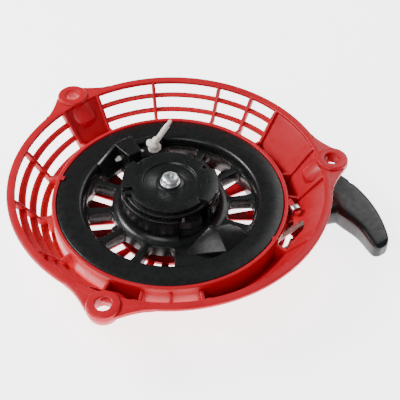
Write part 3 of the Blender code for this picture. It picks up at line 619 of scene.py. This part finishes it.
def add_ears(cover):
    """Three ears, each with a raised seat round its bolt hole and a swelling down to the skirt."""
    seat = [
        (LUG_HOLE_R, 30.0), (8.2, 30.0), (9.0, 33.6), (LUG_BOSS_R, 36.4), (LUG_BOSS_R - 0.1, 37.2),
        (LUG_BOSS_R - 0.8, LUG_TOP_Z), (LUG_HOLE_R + 0.5, LUG_TOP_Z), (LUG_HOLE_R, 37.6),
    ]
    steps = 120
    for azimuth in LUG_AZIMUTHS:
        turn = Matrix.Rotation(math.radians(azimuth), 4, "Z")
        move = turn @ Matrix.Translation((LUG_CIRCLE_R, 0.0, 0.0))
        edge = []
        hole = []
        for index in range(steps):
            direction = 360.0 * index / steps
            edge.append(polar(lug_edge(direction), direction))
            hole.append(polar(LUG_HOLE_R + 0.3, direction))
        low, high = RIM_BOTTOM_Z - 0.7, RIM_TOP_Z - 0.1
        loops = []
        for ring, z in ((hole, low), (edge, low), (edge, high), (hole, high), (hole, low)):
            loops.append([(x, y, z) for x, y in ring])
        ear = lofted(loops, closed_ends=False)
        bmesh.ops.remove_doubles(ear, verts=ear.verts, dist=0.001)
        bmesh.ops.transform(ear, matrix=move, verts=ear.verts)
        add(cover, ear, 0.6, 50.0)
        ring = turned(seat, step=5.0)
        bmesh.ops.transform(ring, matrix=move, verts=ring.verts)
        add(cover, ring, 0.25)
        swell = []
        for index in range(13):
            x, y = polar(9.2, 110.0 + 140.0 * index / 12)
            swell.append((LUG_CIRCLE_R + x, y, 34.6))
            swell.append((LUG_CIRCLE_R - 11.6 + 0.55 * x, 0.8 * y, 27.5))
            swell.append((LUG_CIRCLE_R - 15.4 + 0.10 * x, 0.5 * y, 21.0))
        for across in (-8.0, 8.0):
            swell.append((90.2, across, 34.6))
        body = hull([turn @ Vector(point) for point in swell])
        add(cover, body, 1.2, 24.0)


def add_finger(cover):
    """Bracket off the well wall over the rope, a knob beside it, and a tab on the wall's far side."""
    half = 1.8
    root = Vector((51.6, -45.6))
    tip = Vector((48.9, -56.6))
    along = (tip - root).normalized()
    side = Vector((-along.y, along.x)) * half
    base = math.degrees(math.atan2(side.y, side.x))
    outline = [tuple(root + side)]
    for index in range(13):
        x, y = polar(half, base - 15.0 * index)
        outline.append((tip.x + x, tip.y + y))
    outline.append(tuple(root - side))
    add(cover, prism(outline, 14.8, WALL_TOP_Z - 0.1), 0.4, 40.0)
    knob = prism(circle(1.9, (24.6, -63.4), 24), 16.0, WALL_TOP_Z + 0.25)
    add(cover, knob, 0.6, 40.0)
    tab = [(67.3, 21.5), (69.0, 21.5), (69.0, 23.6), (64.9, 23.2), (64.9, 22.55), (67.3, 22.55)]
    add(cover, fin(tab, 126.8, 3.4), 0.2)


def rope_rings(radius, distances):
    """Rings of points round the rope's line at distances along it."""
    points = []
    for distance in distances:
        for y, z in circle(radius, steps=36):
            points.append(pull_frame() @ Vector((distance, y, z)))
    return points


def pocket_corners(outer, depth, margin):
    """Corners of the pocket on the skirt's outer or inner face, widened by a margin."""
    points = []
    for azimuth, height in POCKET_CORNERS:
        z = height + margin
        points.append(Vector((*polar(skirt_r(z, outer) + depth, azimuth - margin), z)))
    return points


def outlet_skirt():
    """Closed skirt on the rope's side, with the hollow bulge and boss of the rope's outlet."""
    bm = bmesh.new()
    add(bm, turned(skirt_profile(), OUTLET_ZONE[0] - LAP, OUTLET_ZONE[1] + LAP), 0.5)
    made = shape("outlet_skirt", bm)
    bm = bmesh.new()
    rings = rope_rings(OUTLET_R, (OUTLET_START, OUTLET_END))
    add(bm, hull(rings + pocket_corners(True, -0.4, POCKET_MARGIN)), 0.6, 50.0)
    boss = shape("boss", bm)
    step = made.modifiers.new("boss", "BOOLEAN")
    step.operation = "UNION"
    step.solver = "EXACT"
    step.object = boss
    settle(made)
    bpy.data.objects.remove(boss, do_unlink=True)
    rings = rope_rings(POCKET_R, (OUTLET_START + 0.9, OUTLET_SEAT))
    pocket = hull(rings + pocket_corners(False, POCKET_DEPTH, 0.0))
    bore = [(0.0, 30.0), (OUTLET_BORE_R, 30.0), (OUTLET_BORE_R, 60.0), (0.0, 60.0)]
    opening = turned([(69.6, -2.0), (73.4, -2.0), (73.4, 19.0), (69.6, 19.0)], 296.0, 308.0)
    carve(made, [pocket, along_rope(turned(bore, step=7.5)), opening])
    return made


def make_cover():
    """Moulded cover, in two objects that overlap: its body, and the skirt with the outlet."""
    bm = bmesh.new()
    add_deck(bm)
    add_wall(bm)
    add_louvres(bm)
    add_skirt(bm)
    add_rim(bm)
    add_ribs(bm)
    add_ears(bm)
    add_finger(bm)
    fit(shape("cover_moulding", bm), "cover", "red_plastic", RED, "housing")
    fit(outlet_skirt(), "cover", "red_plastic", RED, "housing")


def make_outlet_hardware():
    """Rolled steel eyelet in the outlet, and the bright strip hooked over the finger."""
    rim = [(2.6, OUTLET_SEAT - 1.0)]
    for index in range(9):
        x, y = polar(1.15, 180.0 + 22.5 * index)
        rim.append((4.4 + x, OUTLET_SEAT - 1.05 + 0.48 * y))
    rim += [
        (6.0, OUTLET_SEAT - 0.8), (6.0, OUTLET_SEAT - 0.4), (4.5, OUTLET_SEAT - 0.4),
        (4.5, OUTLET_END + 0.2), (4.2, OUTLET_END + 0.6), (3.0, OUTLET_END + 0.6),
        (2.6, OUTLET_END + 0.1),
    ]
    bm = bmesh.new()
    add(bm, along_rope(turned(rim, step=5.0)))
    fit(shape("eyelet_rolled", bm), "cover", "steel", STEEL, "rope_eyelet")
    half = 2.2
    strip = 0.6
    top = WALL_TOP_Z + 0.25
    bottom = 16.4
    path = [(-half - 0.3, bottom - 1.6), (-half, bottom), (-half, top - 1.0)]
    for index in range(9):
        x, y = polar(half, 180.0 - 22.5 * index)
        path.append((x, top + 0.35 * y))
    path += [(half, top - 1.0), (half, 19.6), (half + 1.1, 18.6)]
    loops = []
    for index, point in enumerate(path):
        before = Vector(path[max(index - 1, 0)])
        after = Vector(path[min(index + 1, len(path) - 1)])
        along = (after - before).normalized()
        side = Vector((-along.y, along.x)) * strip
        outer = Vector(point) + side
        loops.append([
            (point[0], -1.7, point[1]), (point[0], 1.7, point[1]),
            (outer.x, 1.7, outer.y), (outer.x, -1.7, outer.y),
        ])
    turn = Matrix.Translation((49.6, -53.8, 0.0)) @ Matrix.Rotation(math.radians(-13.8), 4, "Z")
    clip = lofted(loops)
    bmesh.ops.transform(clip, matrix=turn, verts=clip.verts)
    bm = bmesh.new()
    add(bm, clip, 0.15, 50.0, 2)
    fit(shape("guide_clip_strip", bm), "cover", "steel", STEEL, "rope_guide_clip")


# ---------------------------------------------------------------- reel and its centre

def window_edge(direction, half_u, half_v, power):
    """Distance from a cell's centre to a rounded rectangle's edge in a direction."""
    c = abs(math.cos(direction)) / half_u
    s = abs(math.sin(direction)) / half_v
    return (c**power + s**power) ** (-1.0 / power)


def web():
    """Web between hub and drum with its round-cornered windows, three of them closed."""
    bm = bmesh.new()
    low_r, high_r = HUB_OUTER_R - 1.0, DRUM_INNER_R + 0.8
    middle_r = (WINDOW_INNER_R + WINDOW_OUTER_R) / 2
    half_angle = WINDOW_PITCH / 2
    steps = 72
    for cell in range(12):
        middle = WINDOW_START + WINDOW_PITCH * cell
        outer = []
        inner = []
        for index in range(steps):
            direction = 2.0 * math.pi * (index + 0.5) / steps
            c, s = math.cos(direction), math.sin(direction)
            reach = 1.0 / max(abs(c), abs(s))
            radius = middle_r + s * reach * ((high_r if s > 0 else middle_r * 2 - low_r) - middle_r)
            outer.append(bm.verts.new((*polar(radius, middle + half_angle * c * reach), WEB_TOP_Z)))
            reach = window_edge(direction, 0.79, 1.0, 7.0)
            radius = middle_r + s * reach * (WINDOW_OUTER_R - WINDOW_INNER_R) / 2
            inner.append(bm.verts.new((*polar(radius, middle + half_angle * c * reach), WEB_TOP_Z)))
        for index in range(steps):
            after = (index + 1) % steps
            bm.faces.new((outer[index], outer[after], inner[after], inner[index]))
        if cell in BLOCKED_WINDOWS:
            bm.faces.new(inner)
    bmesh.ops.remove_doubles(bm, verts=bm.verts, dist=0.01)
    faces = list(bm.faces)
    made = bmesh.ops.extrude_face_region(bm, geom=faces)
    moved = [item for item in made["geom"] if isinstance(item, bmesh.types.BMVert)]
    bmesh.ops.translate(bm, verts=moved, vec=(0.0, 0.0, WEB_BOTTOM_Z - WEB_TOP_Z))
    return bm


def hub_foot(start):
    """Broad fillet at the hub's foot, from an angle on its arc down to the web."""
    fillet = 5.0
    points = []
    for index in range(9):
        x, y = polar(fillet, start + (270.0 - start) * index / 8)
        points.append((HUB_OUTER_R + 0.2 + fillet + x, WEB_TOP_Z + fillet + y))
    points.append((HUB_OUTER_R + 0.2 + fillet, WEB_TOP_Z - 1.0))
    points.append((HUB_INNER_R, WEB_TOP_Z - 1.0))
    return points


def add_blocks(reel):
    """Block and shelf that hold the knot, wall beside them, ramp to the flange, wedge opposite."""
    block = [(38.0, 12.0), (53.2, 12.0), (53.2, 27.4), (52.6, 28.0), (38.6, 28.0), (38.0, 27.4)]
    add(reel, turned(block, 78.0, 91.5), 0.5)
    wall = [(48.5, 12.0), (52.9, 12.0), (52.9, 24.0), (48.5, 24.0)]
    add(reel, turned(wall, 57.0, 79.0), 0.5)
    shelf = [(38.4, 12.5), (49.0, 12.5), (49.0, KNOT_SHELF_Z), (38.4, KNOT_SHELF_Z)]
    add(reel, turned(shelf, 65.0, 79.0), 0.5)
    corners = []
    for azimuth, high in ((91.0, 27.9), (108.0, REEL_TOP_Z - 0.2)):
        for radius, z in ((45.5, 13.0), (53.0, 13.0), (50.8, high), (53.0, high)):
            corners.append((*polar(radius, azimuth), z))
    add(reel, hull(corners), 0.35)
    crown = [(-1.7, -36.3, 28.0), (9.7, -41.4, 27.4), (0.4, -42.4, 28.0), (16.1, -52.6, 21.8)]
    foot = [(-19.7, -34.2, 15.0), (-9.1, -46.7, 15.0), (8.0, -34.5, 15.0), (22.0, -46.5, 15.0)]
    outer = [(14.5, -50.2, 15.0), (-4.0, -52.2, 15.0), (-2.0, -52.3, 21.8)]
    add(reel, hull(crown + foot + outer), 0.6)


def make_reel():
    """Moulded reel: flanges, drum, web, hub, blocks and ratchet pins."""
    bm = bmesh.new()
    drum = [
        (DRUM_INNER_R, REEL_BOTTOM_Z), (LOWER_FLANGE_R, REEL_BOTTOM_Z), (LOWER_FLANGE_R, 4.7),
        (DRUM_OUTER_R, 4.7), (DRUM_OUTER_R, 20.4), (FLANGE_R, 20.4), (FLANGE_R, REEL_TOP_Z),
        (53.4, REEL_TOP_Z), (52.4, 21.7), (51.4, 20.6), (50.9, 19.0), (DRUM_INNER_R, 17.6),
    ]
    add(bm, turned(drum), 0.5, 34.0)
    add(bm, web(), 0.55, 40.0)
    add(bm, turned([
        (HUB_INNER_R, REEL_BOTTOM_Z + 0.2), (HUB_OUTER_R, REEL_BOTTOM_Z + 0.2),
        (HUB_OUTER_R, HUB_FLOOR_Z), (HUB_INNER_R, HUB_FLOOR_Z),
    ]), 0.3)
    add(bm, turned([
        (REEL_BORE_R, HUB_FLOOR_BOTTOM_Z), (26.4, HUB_FLOOR_BOTTOM_Z), (26.4, HUB_FLOOR_Z),
        (REEL_BOSS_R, HUB_FLOOR_Z), (REEL_BOSS_R, REEL_BOSS_TOP_Z), (REEL_BORE_R, REEL_BOSS_TOP_Z),
    ]), 0.3)
    for start, end in HUB_WALLS:
        wall = [(HUB_INNER_R, HUB_TOP_Z), (HUB_OUTER_R, HUB_TOP_Z)] + hub_foot(180.0)
        add(bm, turned(wall, start, end), 0.4, 34.0)
    for start, end in HUB_NOTCHES:
        foot = [(HUB_INNER_R, HUB_FLOOR_Z)] + hub_foot(233.0)
        add(bm, turned(foot, start, end))
    add_blocks(bm)
    for azimuth in RATCHET_AZIMUTHS:
        pin = turned([
            (0.0, 16.5), (RATCHET_PIN_R, 16.5), (RATCHET_PIN_R, RATCHET_PIN_TOP_Z),
            (0.0, RATCHET_PIN_TOP_Z),
        ], step=10.0)
        bmesh.ops.translate(pin, verts=pin.verts, vec=(*polar(RATCHET_PIVOT_R, azimuth), 0.0))
        add(bm, pin, 0.3)
    fit(shape("reel_moulding", bm), "reel", "black_plastic", BLACK, "reel")


def guide_radius(azimuth):
    """Outer radius of the guide: round rim, two wider ears, and notches between them."""
    for zones, radius in ((GUIDE_RIM_ZONES, GUIDE_R), (GUIDE_EAR_ZONES, GUIDE_EAR_R)):
        for start, end in zones:
            if start <= azimuth <= end or start <= azimuth + 360.0 <= end:
                return radius
    return GUIDE_INNER_R


def make_guide():
    """Black guide: stepped top, notched edge, ears, raised arc, ejector marks and ratchet fingers."""
    bm = bmesh.new()
    skirt = [
        (GUIDE_RING_INNER_R, GUIDE_RING_Z), (GUIDE_RING_R, GUIDE_RING_Z), (GUIDE_RING_R, 33.2),
        (GUIDE_RING_INNER_R, 33.4),
    ]
    add(bm, turned(skirt), 0.3, 34.0)
    steps = 480
    rows = []
    for z in (GUIDE_BOTTOM_Z, GUIDE_TOP_Z):
        row = []
        for index in range(steps):
            azimuth = 360.0 * index / steps
            row.append((*polar(guide_radius(azimuth), azimuth), z))
        rows.append(row)
    inner = (
        (15.9, GUIDE_TOP_Z), (15.2, GUIDE_RECESS_Z), (8.8, GUIDE_RECESS_Z), (8.5, GUIDE_GROOVE_Z),
        (7.5, GUIDE_GROOVE_Z), (7.2, GUIDE_RECESS_Z), (GUIDE_BORE_R, GUIDE_RECESS_Z),
        (GUIDE_BORE_R, GUIDE_COLLAR_Z), (GUIDE_COLLAR_R, GUIDE_COLLAR_Z), (GUIDE_COLLAR_R, GUIDE_BOTTOM_Z),
    )
    for radius, z in inner:
        rows.append([(x, y, z) for x, y in circle(radius, steps=steps)])
    plate = lofted(rows + [rows[0]], closed_ends=False)
    bmesh.ops.remove_doubles(plate, verts=plate.verts, dist=0.001)
    add(bm, plate, 0.32, 40.0, 2)
    add(bm, turned([(20.7, 35.4), (21.4, 35.4), (21.3, 35.85), (20.8, 35.85)], *GUIDE_ARC), 0.1)
    for azimuth in GUIDE_MARK_AZIMUTHS:
        mark = turned([(1.25, 35.4), (1.7, 35.4), (1.7, 35.72), (1.25, 35.72)], step=15.0)
        bmesh.ops.translate(mark, verts=mark.verts, vec=(*polar(GUIDE_MARK_R, azimuth), 0.0))
        add(bm, mark, 0.1)
    for azimuth in RATCHET_AZIMUTHS:
        finger = prism(circle(1.6, polar(13.0, azimuth + 30.0), 24), 24.4, 33.2)
        add(bm, finger, 0.3)
    fit(shape("guide_moulding", bm), "guide", "black_plastic", BLACK, "ratchet_guide")


def make_screw():
    """Pan-head screw with a cross recess, and its washer."""
    head = [(0.0, 8.0), (0.9, 8.4), (2.3, 9.8), (2.3, 36.2), (4.7, 36.2)]
    for index in range(10):
        part = index / 9
        angle = math.radians(-18.0 + 108.0 * part)
        head.append((5.0 * math.cos(angle) ** 0.55 if part < 1.0 else 0.0, 37.6 + 1.9 * math.sin(angle)))
    bm = bmesh.new()
    add(bm, turned(head, step=5.0))
    made = shape("screw_pan_head", bm)
    cutters = []
    for turn in (0.0, 90.0):
        spin = Matrix.Rotation(math.radians(turn + 20.0), 4, "Z")
        loops = []
        for z, half, wide in ((36.9, 0.7, 0.32), (40.2, 2.9, 0.62)):
            loops.append([(-half, -wide, z), (half, -wide, z), (half, wide, z), (-half, wide, z)])
        slot = lofted(loops)
        bmesh.ops.transform(slot, matrix=spin, verts=slot.verts)
        cutters.append(slot)
    carve(made, cutters)
    fit(made, "cover", "zinc", ZINC, "setting_screw")
    bm = bmesh.new()
    ring = [(3.4, 34.7), (5.8, 34.7), (5.8, 35.9), (3.4, 35.9)]
    add(bm, turned(ring, step=4.0), 0.3)
    fit(shape("washer_plated", bm), "cover", "zinc", ZINC, "washer")


def keep_cad_pieces():
    """Inner pieces whose CAD shape is right get their real material."""
    looks = {
        "centre_bush": STEEL, "ratchet_1": STEEL, "ratchet_2": STEEL, "recoil_spring": SPRING_STEEL,
        "ratchet_spring_1": SPRING_STEEL, "ratchet_spring_2": SPRING_STEEL,
        "friction_spring": SPRING_STEEL, "rope_end": ROPE,
    }
    for node, look in looks.items():
        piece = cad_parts[node]
        piece.data.materials.clear()
        piece.data.materials.append(look)


# ---------------------------------------------------------------- rope

def braided(points, radius, sides=24, lobes=4, lay=7.5, slim_end=0.0):
    """Braided cord along its points: two sets of strands crossing over and under each other."""
    loops = []
    travelled = 0.0
    up = Vector((0.0, 0.0, 1.0))
    whole = sum((Vector(b) - Vector(a)).length for a, b in zip(points, points[1:]))
    for index, point in enumerate(points):
        before = Vector(points[max(index - 1, 0)])
        after = Vector(points[min(index + 1, len(points) - 1)])
        along = (after - before).normalized()
        side = along.cross(up).normalized()
        up = side.cross(along).normalized()
        if index:
            travelled += (Vector(point) - Vector(points[index - 1])).length
        loop = []
        ends = min(travelled, whole - travelled)
        taper = min(1.0, 0.72 + 0.28 * ends / (0.5 * radius))
        if slim_end and whole - travelled < slim_end:
            taper *= 0.74
        for step in range(sides):
            around = 2.0 * math.pi * step / sides
            twist = 2.0 * math.pi * travelled / lay
            left = abs(math.cos(lobes * (around + twist) / 2))
            right = abs(math.cos(lobes * (around - twist) / 2))
            over = math.sin(lobes * around) * math.sin(lobes * twist)
            height = left if over > 0.0 else right
            reach = radius * taper * (0.87 + 0.13 * height)
            loop.append(Vector(point) + (side * math.cos(around) + up * math.sin(around)) * reach)
        loops.append(loop)
    return lofted(loops)


def smooth_path(points, spacing):
    """Evenly spaced points on a smooth curve through the route's points."""
    route = [Vector(point) for point in points]
    route = [route[0] * 2 - route[1]] + route + [route[-1] * 2 - route[-2]]
    fine = []
    for a, b, c, d in zip(route, route[1:], route[2:], route[3:]):
        count = max(2, round((c - b).length / spacing))
        for index in range(count):
            t = index / count
            fine.append(0.5 * (
                2 * b + (c - a) * t + (2 * a - 5 * b + 4 * c - d) * t * t
                + (3 * b - a - 3 * c + d) * t * t * t
            ))
    fine.append(route[-2])
    return fine


def lead_path():
    """Rope from the drum's first layer in to the knot, following the drum round."""
    points = []
    end = PULL_AZIMUTH - 90.0 - 360.0 * ROPE_TURNS
    steps = 14
    for index in range(steps + 1):
        part = index / steps
        ease = part * part * (3.0 - 2.0 * part)
        azimuth = end + 360.0 * 4 - 48.0 * part
        radius = ROPE_LAYER_1_R - 11.0 * ease
        points.append((*polar(radius, azimuth), ROPE_TOP_Z + 2.4 * ease))
    return points


def winding_path():
    """Rope round the drum: down the first layer, then back up the second to the outlet."""
    points = []
    steps = round(ROPE_TURNS * 48)
    first = 2.55 / ROPE_TURNS
    exit_azimuth = PULL_AZIMUTH - 90.0 - ROPE_JOIN
    for index in range(steps + 1):
        back = index / steps
        azimuth = exit_azimuth - (360.0 * ROPE_TURNS - ROPE_JOIN) * (1.0 - back)
        if back < first:
            radius = ROPE_LAYER_1_R
            z = ROPE_TOP_Z + (ROPE_LOW_Z - ROPE_TOP_Z) * back / first
        else:
            share = (back - first) / (1.0 - first)
            radius = ROPE_LAYER_1_R + (ROPE_LAYER_2_R - ROPE_LAYER_1_R) * min(1.0, share * 6.0)
            z = ROPE_LOW_Z + (ROPE_EXIT_Z - ROPE_LOW_Z) * share
        points.append((*polar(radius, azimuth), z))
    return points


def knot(centre, radius, strand, turn):
    """Pulled-tight overhand knot, as a cord on a trefoil path."""
    path = []
    steps = 150
    scale = (radius - strand) / 3.0
    for index in range(steps):
        t = 2.0 * math.pi * index / steps
        x = math.sin(t) + 2.0 * math.sin(2.0 * t)
        y = math.cos(t) - 2.0 * math.cos(2.0 * t)
        z = -1.35 * math.sin(3.0 * t)
        path.append(turn @ Vector((x * scale, y * scale, z * scale)) + centre)
    return braided(path + path[:2], strand, sides=20, lay=6.0)


def make_rope():
    """Braided rope in its stretches, with the knot and tail on the reel and the knot in the grip."""
    lead = list(reversed(lead_path()[1:]))
    bm = bmesh.new()
    add(bm, braided(smooth_path(lead + winding_path(), 1.1), ROPE_R - 0.02, sides=16))
    fit(shape("rope_on_drum", bm), "reel", "rope", ROPE, "rope_windings")
    frame_x = pull_frame()
    length = GRIP_START - 0.35
    steps = 150
    run = [frame_x @ Vector((0.1 + (length - 0.1) * index / steps, 0.0, 0.0)) for index in range(steps + 1)]
    bm = bmesh.new()
    add(bm, braided(run, ROPE_R))
    made = shape("rope_to_grip", bm)
    made.data.materials.append(ROPE)
    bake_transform(made)
    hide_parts("rope_run")

    low, high = node_box("rope_knot")
    centre = (low + high) / 2
    bm = bmesh.new()
    tilt = Matrix.Rotation(math.radians(64.0), 3, "X") @ Matrix.Rotation(math.radians(25.0), 3, "Y")
    add(bm, knot(centre, 5.6, 2.05, tilt))
    fit(shape("knot_on_reel", bm), "reel", "rope", ROPE, "rope_knot")
    out = Vector((0.92, 0.30, 0.26)).normalized()
    tail = [centre + out * (2.0 + 0.3 * index) for index in range(61)]
    bm = bmesh.new()
    add(bm, braided(tail, ROPE_R, slim_end=4.0))
    fit(shape("tail_past_knot", bm), "reel", "rope", ROPE, "rope_tail")

    low, high = node_box("grip_knot")
    bm = bmesh.new()
    tilt = Matrix.Rotation(math.radians(90.0), 3, "Y")
    add(bm, knot((low + high) / 2, 4.4, 1.7, tilt))
    fit(shape("knot_in_grip", bm), "handle", "rope", ROPE, "grip_knot")


# ---------------------------------------------------------------- grip

def superellipse(half_u, half_w, power, steps=40):
    """Closed rounded-box outline about its centre."""
    points = []
    for index in range(steps):
        angle = 2.0 * math.pi * index / steps
        c, s = math.cos(angle), math.sin(angle)
        u = half_u * math.copysign(abs(c) ** (2.0 / power), c)
        w = half_w * math.copysign(abs(s) ** (2.0 / power), s)
        points.append((u, w))
    return points


def palm_u(across):
    """Outer edge of the grip, which rests in the palm."""
    return 37.0 - 12.6 * (min(across, 43.0) / 43.0) ** 2.1


def finger_u(across):
    """Inner edge of the crossbar, which the fingers hold."""
    swell = math.exp(-(((across - 25.0) / 11.0) ** 2))
    return 13.4 + 2.2 * swell


def make_grip():
    """Moulded T grip: crossbar and neck blended into one body, with the rope's way through."""
    spot = pull_frame() @ Vector((GRIP_START, 0.0, 0.0))
    place = Matrix.Translation((spot.x, spot.y, GRIP_Z)) @ Matrix.Rotation(math.radians(GRIP_YAW), 4, "Z")
    loops = []
    stations = 61
    for index in range(stations):
        v = GRIP_HALF_WIDTH * (2.0 * index / (stations - 1) - 1.0) * 0.996
        across = abs(v)
        rounding = max(0.0, (across - 39.5) / 4.5)
        close = math.sqrt(max(0.0, 1.0 - rounding**2.4 * 0.86))
        outer = palm_u(across)
        inner = finger_u(across)
        middle = (outer + inner) / 2
        half_w = GRIP_HALF_THICK * (1.0 - 0.30 * (across / GRIP_HALF_WIDTH) ** 1.6) * (0.5 + 0.5 * close)
        section = superellipse((outer - inner) / 2 * close, half_w, 6.0)
        loops.append([(middle + u, v, w) for u, w in section])
    bm = bmesh.new()
    add(bm, lofted(loops))
    loops = []
    for index in range(25):
        u = 21.0 * index / 24
        flare = 5.8 + 7.6 * (u / 21.0) ** 1.7
        half_w = GRIP_HALF_THICK * min(1.0, 0.72 + 0.028 * u)
        section = superellipse(flare, half_w - 0.1, 3.2)
        loops.append([(u, v, w) for v, w in section])
    add(bm, lofted(loops))
    bmesh.ops.transform(bm, matrix=place, verts=bm.verts)
    made = shape("grip_moulding", bm)
    weld = made.modifiers.new("weld", "REMESH")
    weld.mode = "VOXEL"
    weld.voxel_size = 0.0006
    ease = made.modifiers.new("ease", "SMOOTH")
    ease.factor = 0.5
    ease.iterations = 4
    settle(made)
    hole = turned([(0.0, 50.0), (2.4, 50.0), (2.4, 80.0), (0.0, 80.0)], step=7.5)
    pocket = turned([(0.0, 71.4), (5.0, 71.4), (5.0, 110.0), (0.0, 110.0)], step=7.5)
    carve(made, [along_rope(hole), along_rope(pocket)])
    fit(made, "handle", "grip_plastic", GRIP_BLACK, "grip")


# ---------------------------------------------------------------- stage

def make_stage():
    """Pale floor, soft studio light and the camera."""
    bm = bmesh.new()
    bmesh.ops.create_grid(bm, x_segments=2, y_segments=2, size=FLOOR_HALF)
    bmesh.ops.translate(bm, verts=bm.verts, vec=(0.0, 0.0, node_box("housing")[0].z - 0.2))
    floor = shape("floor", bm)
    paper, shader = material("floor_paper", (0.93, 0.93, 0.93), 0.9)
    shader.inputs["Specular IOR Level"].default_value = 0.1
    shader.inputs["Emission Color"].default_value = (1.0, 1.0, 1.0, 1.0)
    shader.inputs["Emission Strength"].default_value = FLOOR_GLOW
    roughen(paper, [(noise(paper, 60.0), 0.02, 0.0002)])
    floor.data.materials.append(paper)
    world = bpy.data.worlds.new("studio")
    world.use_nodes = True
    sky = world.node_tree.nodes["Background"]
    sky.inputs["Color"].default_value = (1.0, 1.0, 1.0, 1.0)
    sky.inputs["Strength"].default_value = SKY_GLOW
    bpy.context.scene.world = world
    aim = Vector((0.0, 0.0, LIGHT_AIM_Z)) * MM
    for name, place, size, power in LIGHTS:
        data = bpy.data.lights.new(name, "AREA")
        data.shape = "SQUARE"
        data.size = size * MM
        data.energy = power
        light = bpy.data.objects.new(name, data)
        light.location = Vector(place) * MM
        light.rotation_euler = (aim - light.location).to_track_quat("-Z", "Y").to_euler()
        bpy.context.collection.objects.link(light)
    data = bpy.data.cameras.new("camera")
    data.lens = CAMERA_LENS
    data.sensor_width = CAMERA_SENSOR
    data.clip_start = 0.01
    camera = bpy.data.objects.new("camera", data)
    camera.location = Vector(CAMERA_PLACE) * MM
    view = (Vector(CAMERA_AIM) - Vector(CAMERA_PLACE)).to_track_quat("-Z", "Y").to_matrix()
    camera.rotation_euler = (view @ Matrix.Rotation(math.radians(CAMERA_ROLL), 3, "Z")).to_euler()
    bpy.context.collection.objects.link(camera)
    bpy.context.scene.camera = camera


make_stage()
make_cover()
make_outlet_hardware()
make_reel()
make_guide()
make_screw()
keep_cad_pieces()
make_rope()
make_grip()
